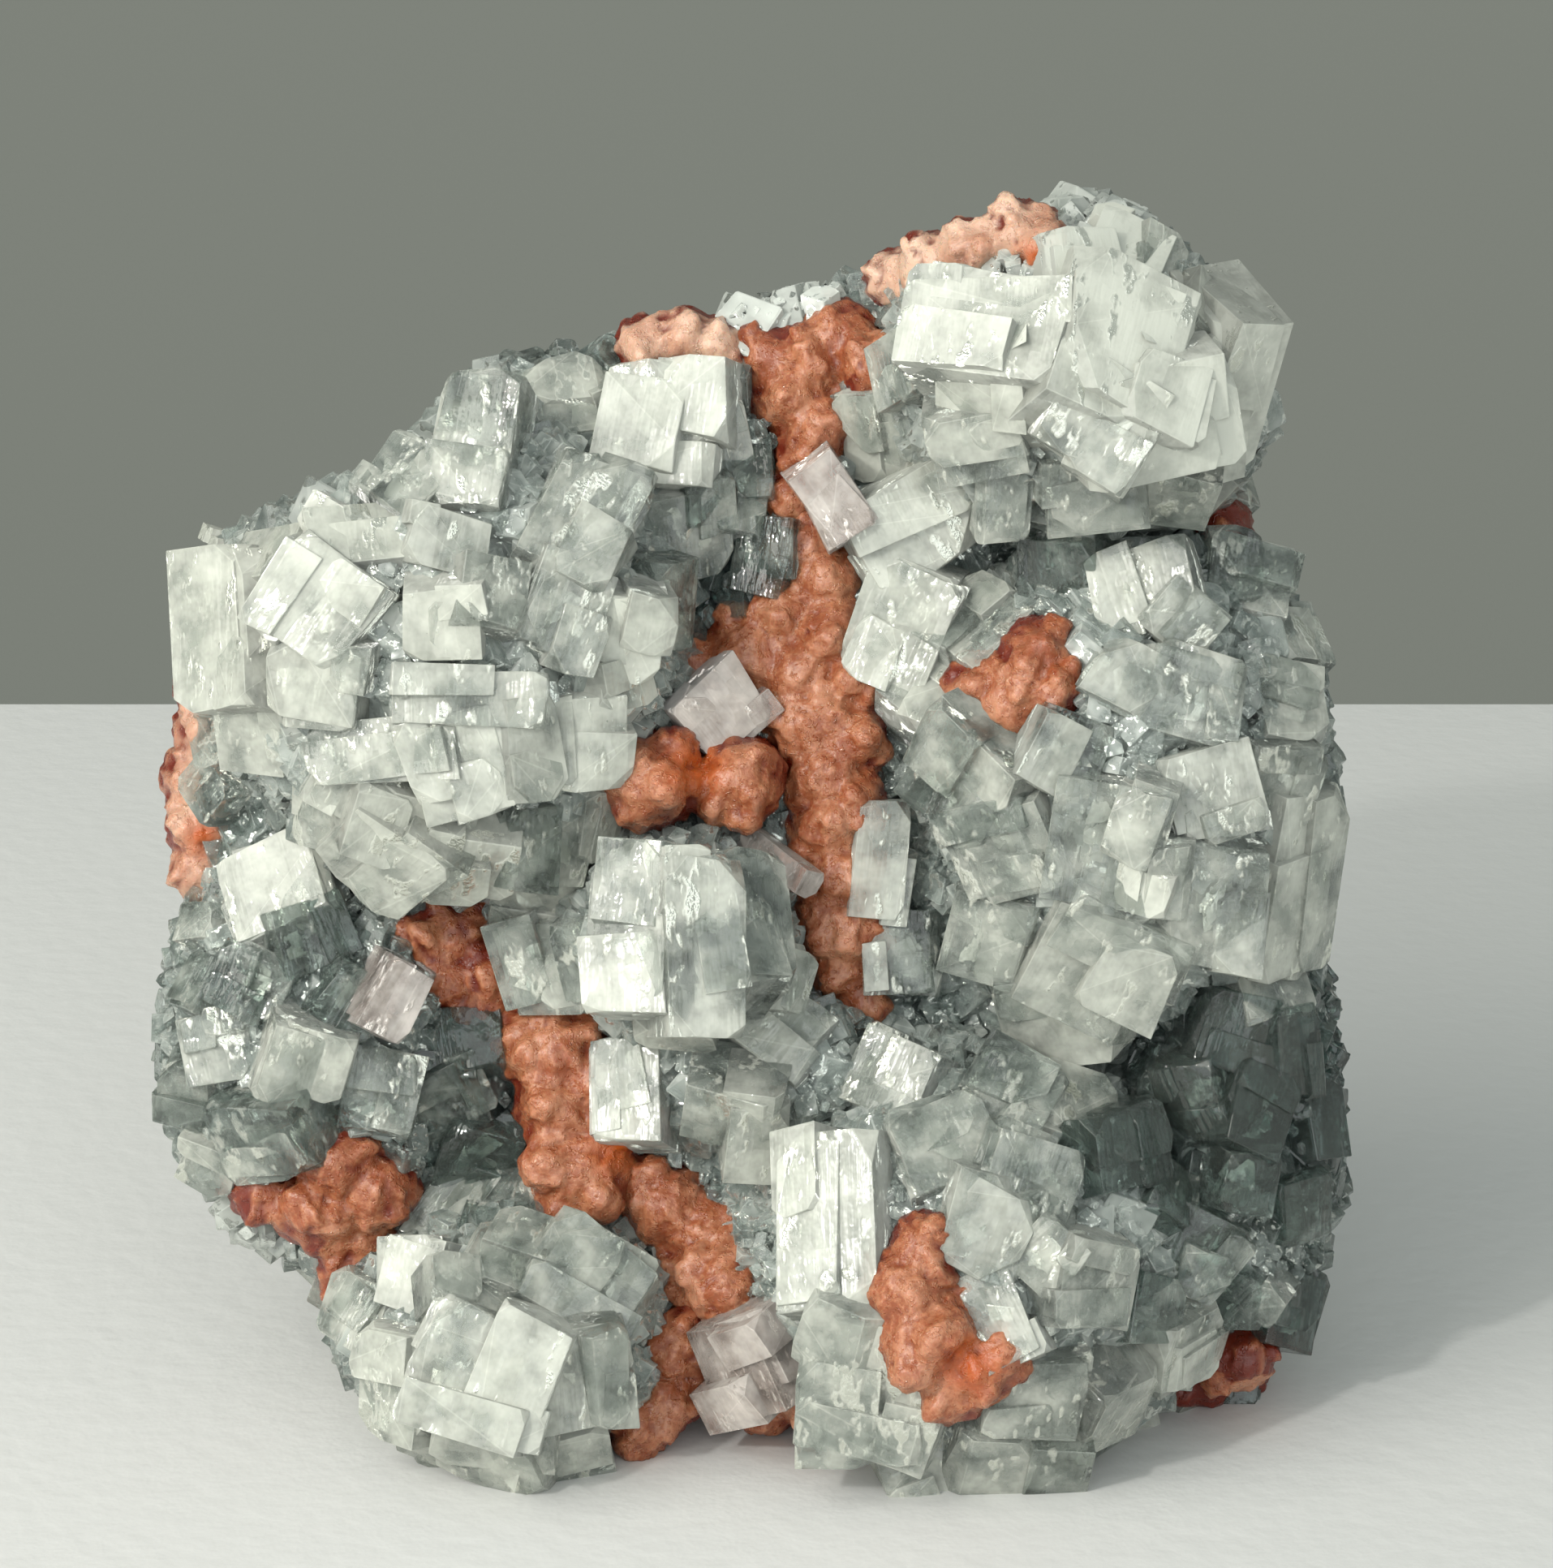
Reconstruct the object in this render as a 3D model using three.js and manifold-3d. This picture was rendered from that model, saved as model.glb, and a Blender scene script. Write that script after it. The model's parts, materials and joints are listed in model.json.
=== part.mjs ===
// Stilbite on apophyllite: a hand-sized mineral specimen that stands on its broken foot and leans back a little.
// A plate of basalt carries one crust of intergrown apophyllite blocks. Salmon stilbite fills the seams and
// pockets between the crust's mounds, and a few loose-standing apophyllite blocks sit on the stilbite.
//
// Units are millimetres. The plate's own frame has X to the right, Z up along the plate and -Y out of its face.

import * as THREE from "three";
import { ConvexGeometry } from "three/addons/geometries/ConvexGeometry.js";
import { mergeVertices } from "three/addons/utils/BufferGeometryUtils.js";
import Module from "manifold-3d";

const wasm = await Module();
wasm.setup();

// ---------------------------------------------------------------- driving dimensions

const LEAN = THREE.MathUtils.degToRad(14); // how far the plate leans back
const FLOOR_RISE = 8; // the surface it stands on meets the plate's mid-plane this far up
const FOOTPRINT_SHIFT = [0.7, -8.3]; // moves the middle of the bounding box over the origin
const GAP = 0.3; // air between neighbouring solids
const PLATE_CENTRE = [0, 58]; // x, z
const PLATE_INSET = 0.93; // the basalt's outline, as a share of the whole outline
const PLATE_THICKNESS = 20;
const ROUGHNESS = 1.3; // how far its broken back rises and falls
const HEEL_DEPTH = 12; // the basalt is this much thicker at the foot
const HEEL_HEIGHT = 40;
const MOUND_INSET = 2.5; // the mounds lie this far under the faces of their blocks
const LUMP_REACH = 1.7; // half a stilbite lump's depth, as a share of its radius
const CORNER_CUT = 0.2; // a block's cut corners, as a share of its smaller side
const CUT_FROM = 9; // blocks smaller than this keep sharp corners
const MOUND_BACK = 5; // how far the mounds reach back into the basalt
const LEAST_BURIED = 4; // a block reaches at least this far into its mound
const FACING = 0.55; // how far blocks turn with their mound's slope, 0 none and 1 fully
const RIM_STEP = 8.5; // spacing of the blocks along the crust's edge
const RIM_SIZE = [6.5, 10];
const SEED = 7;

// ---------------------------------------------------------------- layout

// The whole outline, x and z, clockwise from the peak.
const OUTLINE = [
  [32, 118.5], [37, 114.5], [42.5, 108], [46.5, 100.5], [46.5, 95], [44.5, 88.5], [49.5, 84.5], [51, 77],
  [53, 62], [52, 48], [54.5, 39.5], [53.5, 27.5], [50.5, 16], [46, 7], [39.5, 1], [30.5, -1.5],
  [19, 1.5], [9.5, 5], [0.5, 7.5], [-6.5, 7.5], [-12, 5.5], [-19.5, 2], [-29.5, 4], [-39.5, 14.5],
  [-47, 22], [-53, 31], [-55, 42.5], [-53, 55.5], [-53.5, 63], [-52, 76.5], [-50.5, 85.5], [-45.5, 88.5],
  [-37.5, 91.5], [-30, 96], [-25, 102.5], [-14.5, 104.5], [-4, 108], [8.5, 110.5], [22, 115.5],
];

// The mounds under the crust: centre x, centre z, half width, half height, how far they stand out.
const MOUNDS = {
  bed: [0, 58, 53, 56, 9],
  upperLeft: [-27, 78, 24, 25, 24],
  upperRight: [29, 102, 19, 17, 25],
  middleRight: [33.5, 65, 21, 27, 23],
  centre: [-6.5, 52, 13, 13, 22],
  lowerLeft: [-39.5, 41, 16, 22, 13],
  bottomLeft: [-22, 14, 18, 15, 22],
  lowerRight: [20, 22, 25, 23, 27],
  rightFlank: [43, 34, 12, 24, 16],
  middleRidge: [2, 39, 17, 10, 17],
};

// The crust's main blocks: x, z, width, height, turn (degrees clockwise as seen from the front),
// then, where they differ from 1, 0 and 0: how far the front face stands proud, nod and swing (degrees).
const BLOCKS = {
  upperLeft: [
    [-8.5, 99, 10.5, 10, 8, 3.5, -6, -8], [-14.5, 90.5, 8, 11, 28, 4], [-24.5, 97, 6.5, 11.5, 14, 3],
    [-17, 100.5, 8, 7.5, -5, 1.5], [-34, 89, 9, 5, -8, 0.5], [-47.5, 80, 10, 13, -4, 2.5],
    [-38, 82.5, 8.5, 8.5, 35, 3], [-38.5, 76, 8, 7, 14, 2], [-16, 82, 6.5, 8.5, 20, 2],
    [-5.5, 88, 7.5, 8, -12, 2], [-11.5, 79.5, 7, 8, 8, 2], [-24.5, 74.5, 13, 5, 2, 1.5],
    [-14, 70.5, 6.5, 7.5, 2, 1.5], [-32.5, 70, 14, 5.5, -6, 1.5], [-25.5, 68.5, 8, 8, -15, 2],
    [-33, 59.5, 9.5, 9.5, 40, 4, 8], [-25, 59, 8, 7, 12, 3, 8], [-30.5, 62.5, 10, 6.5, 25, 2.5],
    [-43.5, 57, 9, 8, -20, 1.5],
  ],
  upperRight: [
    [20, 107, 14, 8.5, 8, 4.5, -4], [33.5, 105.5, 12, 12, 20, 3], [36, 98.5, 12, 9, -10, 3.5, 6], [30, 92, 8, 6.5, -8], [36.5, 91.5, 8, 6, 5],
    [30, 99, 9, 9, 30, 4], [43, 100, 6.5, 15, -5, 1.5], [11.5, 96.5, 9, 8, -4, 3],
    [19.5, 101.5, 8, 6, 12, 2], [15, 89, 11.5, 7.5, -30, 6, 4], [19.5, 96, 8, 6, -12, 2],
  ],
  middleRight: [
    [13, 80, 7.5, 10, 24, 5], [16, 76, 6.5, 8.5, 32, 4], [20, 80.5, 6.5, 7.5, 35, 2],
    [18, 66.5, 9.5, 9.5, 38, 4], [30.5, 61.5, 9, 10.5, 10, 2], [40, 56, 9, 10, 4, 2.5],
    [49, 57, 7.5, 17, 0, 1.5], [11.5, 59, 5, 10, 6, 4], [21.5, 60.5, 9, 8, -15, 2.5],
    [30.5, 49.5, 12, 11, 25, 2], [27, 44.5, 9, 8.5, -15, 2.5], [38, 75, 8, 7, 15],
    [45, 84.5, 7, 6.5, 20, 1.5], [48, 73.5, 6.5, 7, 10], [34.5, 84, 8, 6.5, -10],
    [27, 85.5, 7.5, 6, 0, 1.5], [40.5, 66.5, 8, 7, -12, 1.5], [46.5, 66.5, 7, 6.5, 5],
    [20.5, 52.5, 7, 8, 15, 2],
  ],
  centre: [
    [-11, 54.5, 7.5, 13.5, 0, 3, -3, -3], [-4, 53, 6.5, 15, 0, 4.5, -3], [0.5, 55, 6.5, 12, 5, 2],
    [-19, 49, 8, 8, -10, 4], [-18, 60.5, 8.5, 7.5, 15, 1.5], [2, 44.5, 8, 6, 40, 1.5],
  ],
  lowerLeft: [
    [-40.5, 40.5, 7, 7.5, 20, 2], [-44.5, 33.5, 9.5, 7, -10, 2], [-28, 36.5, 7, 6.5, -25],
    [-25, 31, 7, 7, 20, 1.5], [-28, 27.5, 8, 9, 35], [-22, 28, 7, 8, 15], [-27, 42.5, 8, 6, -10, 1.5],
  ],
  bottomLeft: [
    [-24, 15, 12, 10.5, 20, 4], [-32.5, 13, 6.5, 9, 3, 2], [-15, 14, 8.5, 9, -5, 3],
    [-14.5, 22, 10, 9, 35, 2], [-24, 6, 10.5, 7.5, 4, 2.5], [-16.5, 5.5, 8, 6, -12, 1.5],
  ],
  lowerRight: [
    [17, 35.5, 8, 7, -20, 2], [22.5, 38.5, 8, 8, 30, 1.5], [29, 38.5, 8, 7, 10, 1.5], [-21, 24.5, 8, 7, 15, 2],
    [-11.5, 38.5, 6, 9, -5, 3], [-2.5, 36, 8, 7, 10, 2], [24.5, 32, 8, 8, 20, 2], [12, 40.5, 7.5, 7, 30, 3],
    [6.5, 29, 9, 14.5, -4, 4, -4], [20.5, 28, 7, 7.5, 20, 2], [21, 20.5, 5.5, 8.5, -25, 2],
    [30.5, 23, 8, 7, 10, 2], [10, 13.5, 11.5, 13, 12, 3.5], [15.5, 6, 8, 7, -8, 1.5],
    [23.5, 5, 11, 10, 6, 2.5, 4], [32.5, 10, 7.5, 9, -2, 3], [25.5, 12.5, 8, 8, 5, 2],
    [39, 15.5, 8.5, 7, -10, 3],
  ],
  rightFlank: [
    [45.5, 40, 12, 14, 15, 2], [33.5, 34, 9.5, 8, -15, 3], [40, 24.5, 8, 8, 30, 2], [42.5, 7, 8, 8, 15, 2],
    [49, 27.5, 7, 8, -10, 1.5], [52, 35.5, 5, 9, 0],
  ],
};

// Stilbite: each cluster is a list of lumps, x, z, radius, then how far the lump stands proud of the mounds.
const STILBITE = {
  stilbite_top_seam: [[9.4, 105.4, 4.6, 5], [3, 103, 4.6, 5], [5, 98, 4.8, 5.5], [4.4, 93, 4, 5]],
  stilbite_central_seam: [
    [4.6, 88, 3.4, 4], [5, 82.6, 4.8, 5], [-0.6, 77.6, 4.8, 5], [6, 77, 4.8, 6], [-5.6, 75, 3.6, 3.5],
    [4.6, 71.4, 5.2, 6], [7, 66, 4.8, 6.5], [7, 60, 4.4, 6], [7, 54.4, 4.2, 6], [8, 48.6, 3.6, 5],
  ],
  stilbite_bow_tie: [[-9.4, 66.2, 4.6, 9.5], [-5.4, 64.8, 3.6, 9.5], [-1.4, 66, 4.4, 10]],
  stilbite_right_pocket: [[20.8, 75, 4, 3], [25.2, 77.4, 4.2, 3.4], [24, 72.6, 3.8, 3]],
  stilbite_left_edge: [[-50.4, 72, 4.4, 2], [-51, 66, 4.4, 2.5], [-50.6, 59.4, 4.6, 2]],
  stilbite_left_pocket: [[-28, 51, 4.6, 4], [-24.6, 47.4, 4, 3.5], [-29.6, 46.6, 3.6, 3]],
  stilbite_lower_column: [
    [-19.6, 41.4, 4.6, 5.5], [-14.4, 38, 4.6, 6], [-18, 35.4, 4.8, 6], [-15.8, 30.2, 5.6, 8], [-11.6, 33.6, 3.6, 6],
  ],
  stilbite_lower_fan: [[-8.6, 27.6, 4.6, 5], [-4.6, 24, 5, 6], [-2.8, 19.4, 4.4, 5.5], [-6.4, 18.6, 3.6, 4.5]],
  stilbite_bottom_seam: [[-8.6, 10, 4.2, 4], [-7.4, 14.6, 3.6, 4], [1.6, 9.4, 4.2, 3.5]],
  stilbite_lower_left: [[-39, 31.4, 4.6, 3.5], [-34.4, 28.4, 4.4, 4], [-39.6, 25.4, 4.8, 3.5], [-36, 21, 4, 3]],
  stilbite_lower_right: [[14.4, 26, 3.8, 3.5], [13.4, 20.8, 4.6, 4.5], [17.6, 17, 4.8, 5]],
  stilbite_right_foot: [[44.4, 13.4, 4.6, 4], [41, 9.4, 4.4, 4]],
  stilbite_right_notch: [[42.4, 88.4, 3.4, 2.5]],
  stilbite_top_rim: [[13.6, 111.6, 3.6, 3.4], [19, 113.4, 3.6, 3.6], [24.4, 115, 3.6, 3.6]],
  stilbite_top_left_rim: [[-9.4, 105, 3.4, 3], [-4.2, 105.8, 3.6, 3.5]],
};

// Apophyllite blocks that stand free of the crust: x, z, width, height, turn, how far the front stands off the mounds.
const PERCHED = {
  apophyllite_on_bow_tie: [-2.6, 72.6, 7.5, 7, -36, 9.5],
  apophyllite_small_in_seam: [5.4, 57, 3, 3.4, 20, 9],
  apophyllite_top_of_seam: [7, 91.4, 4.5, 7.5, -35, 8],
  apophyllite_left_pocket: [-31.8, 46.6, 4.4, 6.4, 30, 5],
  apophyllite_bottom_left_of_seam: [-2.6, 13.4, 9, 8.6, -25, 6],
};

// ---------------------------------------------------------------- small helpers

/** A repeatable random number generator, 0 to 1. */
function randomSource(seed) {
  let state = seed;
  return () => {
    state = (state + 0x6d2b79f5) | 0;
    let t = Math.imul(state ^ (state >>> 15), 1 | state);
    t = (t + Math.imul(t ^ (t >>> 7), 61 | t)) ^ t;
    return ((t ^ (t >>> 14)) >>> 0) / 4294967296;
  };
}

/** A slow, repeatable wobble between about -1 and 1. */
function wobble(x, y, z) {
  return (Math.sin(x * 0.31 + z * 0.17 + 1.3) + Math.sin(z * 0.27 - y * 0.41) + Math.sin(x * 0.73 - z * 0.59 + y * 0.3)) / 2.4;
}

/** A geometry as a manifold-3d solid. */
function toSolid(geometry) {
  const bare = geometry.clone();
  bare.deleteAttribute("normal");
  bare.deleteAttribute("uv");
  const merged = mergeVertices(bare, 1e-4);
  return new wasm.Manifold(
    new wasm.Mesh({
      numProp: 3,
      vertProperties: new Float32Array(merged.attributes.position.array),
      triVerts: new Uint32Array(merged.index.array),
    }),
  );
}

/** A manifold-3d solid as a geometry. */
function toGeometry(solid) {
  const mesh = solid.getMesh();
  const geometry = new THREE.BufferGeometry();
  geometry.setAttribute("position", new THREE.BufferAttribute(new Float32Array(mesh.vertProperties), 3));
  geometry.setIndex(new THREE.BufferAttribute(new Uint32Array(mesh.triVerts), 1));
  geometry.computeVertexNormals();
  return geometry;
}

/** The largest single body of a solid that a cut may have left in several. */
function largestBody(solid) {
  return solid.decompose().reduce((best, body) => (body.volume() > best.volume() ? body : best));
}

// ---------------------------------------------------------------- the mounds' surface

/** How far the mounds stand out of the plate's mid-plane at x, z. */
function moundHeight(x, z) {
  return Object.values(MOUNDS).reduce((highest, [cx, cz, rx, rz, out]) => {
    const rest = 1 - ((x - cx) / rx) ** 2 - ((z - cz) / rz) ** 2;
    return rest > 0 ? Math.max(highest, out * Math.sqrt(rest)) : highest;
  }, 0);
}

/** The way the mounds' surface faces at x, z, turned by the share FACING from straight out. */
function moundNormal(x, z) {
  const reach = 2.5;
  const slopeX = (moundHeight(x + reach, z) - moundHeight(x - reach, z)) / (2 * reach);
  const slopeZ = (moundHeight(x, z + reach) - moundHeight(x, z - reach)) / (2 * reach);
  return new THREE.Vector3(-FACING * slopeX, -1, -FACING * slopeZ).normalize();
}

/** One mound: a flattened ball, its back half shallow so that it ends inside the basalt. */
function moundSolid([cx, cz, rx, rz, out], inset) {
  const ball = new THREE.IcosahedronGeometry(1, 1);
  const position = ball.attributes.position;
  for (let i = 0; i < position.count; i += 1) {
    const y = position.getY(i);
    position.setY(i, y * (y > 0 ? MOUND_BACK : out - inset));
  }
  return toSolid(ball.scale(rx - inset, 1, rz - inset).translate(cx, 0, cz));
}

// ---------------------------------------------------------------- blocks of apophyllite

/** A block with cut corners. Its front face is centred on the origin and faces -Y. */
function blockGeometry(width, height, depth, cuts) {
  const points = [];
  [-1, 1].forEach((sx) =>
    [-1, 1].forEach((sz) =>
      [0, 1].forEach((back) => {
        const corner = new THREE.Vector3((sx * width) / 2, back * depth, (sz * height) / 2);
        const cut = back ? 0 : cuts[sx + 1 + (sz + 1) / 2];
        if (!cut) {
          points.push(corner);
          return;
        }
        points.push(corner.clone().add(new THREE.Vector3(-sx * cut, 0, 0)));
        points.push(corner.clone().add(new THREE.Vector3(0, cut, 0)));
        points.push(corner.clone().add(new THREE.Vector3(0, 0, -sz * cut)));
      }),
    ),
  );
  return new ConvexGeometry(points);
}

/** Cut sizes for the front corners of a large block, some of them sharp. Buried corners stay sharp. */
function frontCuts(width, height, random) {
  const size = CORNER_CUT * Math.min(width, height);
  return [0, 1, 2, 3].map(() => {
    const share = random() < 0.6 ? 0.6 + 0.8 * random() : 0;
    return Math.min(width, height) < CUT_FROM ? 0 : size * share;
  });
}

/** A place whose -Y looks along a direction, after its own turn, nod and swing in degrees. */
function placeFacing(position, direction, turn, nod, swing) {
  const facing = new THREE.Quaternion().setFromUnitVectors(new THREE.Vector3(0, -1, 0), direction);
  const own = new THREE.Euler(...[nod, turn, swing].map(THREE.MathUtils.degToRad), "YXZ");
  const spin = new THREE.Quaternion().setFromEuler(own);
  return new THREE.Matrix4().compose(position, facing.multiply(spin), new THREE.Vector3(1, 1, 1));
}

/** A row of the tables as width, height, depth and place. */
function standOnMounds([x, z, width, height, turn, proud = 1, nod = 0, swing = 0]) {
  const depth = Math.max((width + height) / 2, proud + LEAST_BURIED);
  const position = new THREE.Vector3(x, -(moundHeight(x, z) + proud), z);
  return [width, height, depth, placeFacing(position, moundNormal(x, z), turn, nod, swing)];
}

/** The same block at its own size and, for cutting its neighbours, larger by the gap all round. */
function blockPair([width, height, depth, place], cuts) {
  const block = toSolid(blockGeometry(width, height, depth, cuts).applyMatrix4(place));
  const larger = blockGeometry(width + 2 * GAP, height + 2 * GAP, depth + 2 * GAP, cuts).translate(0, -GAP, 0);
  return [block, toSolid(larger.applyMatrix4(place))];
}

/** Blocks along the crust's edge, facing half outwards, as rows of blockPair with their own facing. */
function rimBlocks(random) {
  const [cx, cz] = PLATE_CENTRE;
  const rim = new THREE.Path(OUTLINE.map(([x, z]) => new THREE.Vector2(x, z))).closePath();
  const count = Math.round(rim.getLength() / RIM_STEP);
  return rim.getSpacedPoints(count).slice(0, count).map(({ x, y: z }) => {
    const outwards = new THREE.Vector2(x - cx, z - cz).normalize();
    const size = THREE.MathUtils.lerp(...RIM_SIZE, random());
    const out = 2 + 5 * random();
    const facing = new THREE.Vector3(outwards.x, -0.5 - 0.5 * random(), outwards.y).normalize();
    const inwards = 0.45 * size;
    const place = placeFacing(new THREE.Vector3(x - outwards.x * inwards, -out, z - outwards.y * inwards), facing, random() * 90, 0, 0);
    return [size, size * 0.85, size, place];
  });
}

// ---------------------------------------------------------------- the basalt plate

/** The plate: rings of the outline from the front face to the rounded back, with a heel at the foot. */
function basaltGeometry(grow) {
  const [cx, cz] = PLATE_CENTRE;
  const sections = [[0, 0.97], [0.2, 1], [0.5, 0.98], [0.78, 0.86], [0.95, 0.64], [1.04, 0.34]];
  const count = OUTLINE.length;
  const vertices = [[cx, -grow, cz]];
  sections.forEach(([depth, scale], ring) => {
    OUTLINE.forEach(([ox, oz]) => {
      const reach = PLATE_INSET * scale + (grow / 50);
      const [x, z] = [cx + (ox - cx) * reach, cz + (oz - cz) * reach];
      const heel = HEEL_DEPTH * Math.max(0, 1 - z / HEEL_HEIGHT);
      const rough = ring === 0 ? 0 : ROUGHNESS * wobble(x, 2 * ring, z);
      const y = ring === 0 ? -grow : depth * (PLATE_THICKNESS + heel) + rough + grow;
      vertices.push([x + rough * 0.6 * Math.sign(x - cx) * (1 - depth), y, z]);
    });
  });
  vertices.push([cx, 1.06 * PLATE_THICKNESS + grow, cz]);
  const indices = [];
  OUTLINE.forEach((_, i) => {
    const next = (i + 1) % count;
    indices.push(0, 1 + next, 1 + i);
    for (let ring = 0; ring + 1 < sections.length; ring += 1) {
      const [a, b] = [1 + ring * count + i, 1 + ring * count + next];
      indices.push(a, b, a + count, b, b + count, a + count);
    }
    const last = 1 + (sections.length - 1) * count;
    indices.push(last + i, last + next, vertices.length - 1);
  });
  const geometry = new THREE.BufferGeometry();
  geometry.setAttribute("position", new THREE.BufferAttribute(new Float32Array(vertices.flat()), 3));
  geometry.setIndex(indices);
  return geometry;
}

// ---------------------------------------------------------------- stilbite

/** One lump: a knob that reaches well below the mounds' surface, so that it fills the valley it grew in. */
function lumpSolid([x, z, radius, proud], grow) {
  const reach = LUMP_REACH * radius;
  const knob = new THREE.DodecahedronGeometry(1, 0).rotateY(x + z).scale(radius + grow, reach + grow, radius + grow);
  return toSolid(knob.translate(x, reach - proud - moundHeight(x, z), z));
}

// ---------------------------------------------------------------- the surface it stands on

/** Everything below the surface that the specimen stands on, in the plate's frame. */
function belowFloor() {
  const half = 200;
  const slab = new THREE.BoxGeometry(2 * half, 2 * half, 2 * half).translate(0, 0, -half);
  return toSolid(slab.rotateX(LEAN).translate(0, 0, FLOOR_RISE));
}

// ---------------------------------------------------------------- materials

const apophyllite = new THREE.MeshStandardMaterial({ color: 0xbfcdc6, roughness: 0.2, metalness: 0, transparent: true, opacity: 0.75 });
const stilbite = new THREE.MeshStandardMaterial({ color: 0xd68563, roughness: 0.45, metalness: 0 });
const basalt = new THREE.MeshStandardMaterial({ color: 0x46514e, roughness: 0.9, metalness: 0 });

// ---------------------------------------------------------------- assembly

const random = randomSource(SEED);
const floor = belowFloor();
const specimen = new THREE.Group();
specimen.rotation.x = -LEAN;
specimen.position.set(FOOTPRINT_SHIFT[0], FOOTPRINT_SHIFT[1], -FLOOR_RISE * Math.cos(LEAN));

/** Adds a solid to the specimen, cut by what is already there and by the floor. Only its largest body is kept. */
function addPiece(name, solid, taken, material) {
  const body = largestBody(solid.subtract(taken).subtract(floor));
  const mesh = new THREE.Mesh(toGeometry(body), material);
  mesh.name = name;
  specimen.add(mesh);
}

addPiece("basalt_matrix", toSolid(basaltGeometry(0)), floor, basalt);
let taken = toSolid(basaltGeometry(GAP));

const blockRows = Object.values(BLOCKS).flat().map(standOnMounds).concat(rimBlocks(random));
const blockSolids = blockRows.map((row) => blockPair(row, frontCuts(row[0], row[1], random)));
const mounds = Object.values(MOUNDS).map((mound) => moundSolid(mound, MOUND_INSET));
const grownMounds = Object.values(MOUNDS).map((mound) => moundSolid(mound, MOUND_INSET - GAP));
addPiece("apophyllite_crust", wasm.Manifold.union([...mounds, ...blockSolids.map(([block]) => block)]), taken, apophyllite);
taken = wasm.Manifold.union([taken, ...grownMounds, ...blockSolids.map(([, larger]) => larger)]);

Object.entries(STILBITE).forEach(([name, lumps]) => {
  const [own, grown] = [0, GAP].map((grow) => wasm.Manifold.union(lumps.map((lump) => lumpSolid(lump, grow))));
  addPiece(name, own, taken, stilbite);
  taken = taken.add(grown);
});

Object.entries(PERCHED).forEach(([name, row]) => {
  const [block, larger] = blockPair(standOnMounds(row), frontCuts(row[2], row[3], random));
  addPiece(name, block, taken, apophyllite);
  taken = taken.add(larger);
});

export default specimen;
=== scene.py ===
"""The looks of a stilbite on apophyllite specimen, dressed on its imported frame.

The specimen is a basalt plate that leans back. A crust of glassy, pale green apophyllite blocks covers its
face in rounded mounds, and salmon stilbite fills the seams and pockets between them. Tables are in
millimetres in the plate's own frame: X to the right, Z up along the plate and -Y out of its face.
"""

from __future__ import annotations

import json
import logging
import math
import random
from dataclasses import dataclass, field
from enum import Enum
from typing import Any, Callable, Iterable, Sequence, Union

import bmesh
import bpy
from mathutils import Euler, Matrix, Vector, noise

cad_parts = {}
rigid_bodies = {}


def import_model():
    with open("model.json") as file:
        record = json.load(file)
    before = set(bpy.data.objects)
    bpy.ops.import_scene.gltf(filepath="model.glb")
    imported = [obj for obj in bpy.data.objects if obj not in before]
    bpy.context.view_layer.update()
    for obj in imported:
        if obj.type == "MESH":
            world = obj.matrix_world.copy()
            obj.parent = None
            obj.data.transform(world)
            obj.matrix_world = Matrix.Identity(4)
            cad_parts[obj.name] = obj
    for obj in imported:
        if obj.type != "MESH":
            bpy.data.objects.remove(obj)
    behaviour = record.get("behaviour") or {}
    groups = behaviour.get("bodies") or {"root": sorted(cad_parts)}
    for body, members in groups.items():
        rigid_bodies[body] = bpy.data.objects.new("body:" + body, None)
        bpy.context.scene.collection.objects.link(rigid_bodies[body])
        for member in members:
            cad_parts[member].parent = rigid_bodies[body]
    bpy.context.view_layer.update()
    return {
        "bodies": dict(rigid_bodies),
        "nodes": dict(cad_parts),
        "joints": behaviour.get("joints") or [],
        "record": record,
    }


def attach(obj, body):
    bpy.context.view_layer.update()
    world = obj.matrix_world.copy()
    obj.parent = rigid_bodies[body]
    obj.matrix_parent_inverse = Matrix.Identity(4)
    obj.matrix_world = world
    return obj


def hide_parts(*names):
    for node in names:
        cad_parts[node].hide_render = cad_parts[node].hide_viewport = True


LOG = logging.getLogger("stilbite_on_apophyllite")

MM = 0.001
# The noise vectors take their offsets from this seed, so each run builds the same rock and the same blades.
NOISE_SEED = 11
BODY = "root"
OUTWARDS = Vector((0.0, -1.0, 0.0))
Colour = tuple[float, float, float, float]


# ---------------------------------------------------------------- the plate and its mounds


@dataclass(frozen=True)
class PlateFrame:
    """Where the leaning plate stands in the specimen's frame, in millimetres and radians."""

    lean: float = math.radians(14.0)
    floor_rise: float = 8.0
    shift_x: float = 0.7
    shift_y: float = -8.3

    def matrix(self) -> Matrix:
        """Takes plate millimetres to metres in the specimen's frame.

        Returns:
            The transform, with its scale.
        """
        drop = -self.floor_rise * math.cos(self.lean)
        move = Matrix.Translation((self.shift_x, self.shift_y, drop))
        return Matrix.Scale(MM, 4) @ move @ Matrix.Rotation(-self.lean, 4, "X")


@dataclass(frozen=True)
class Mound:
    """A flattened ball that the crust covers: its middle, half sizes and how far it stands out."""

    x: float
    z: float
    half_width: float
    half_height: float
    out: float


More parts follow.
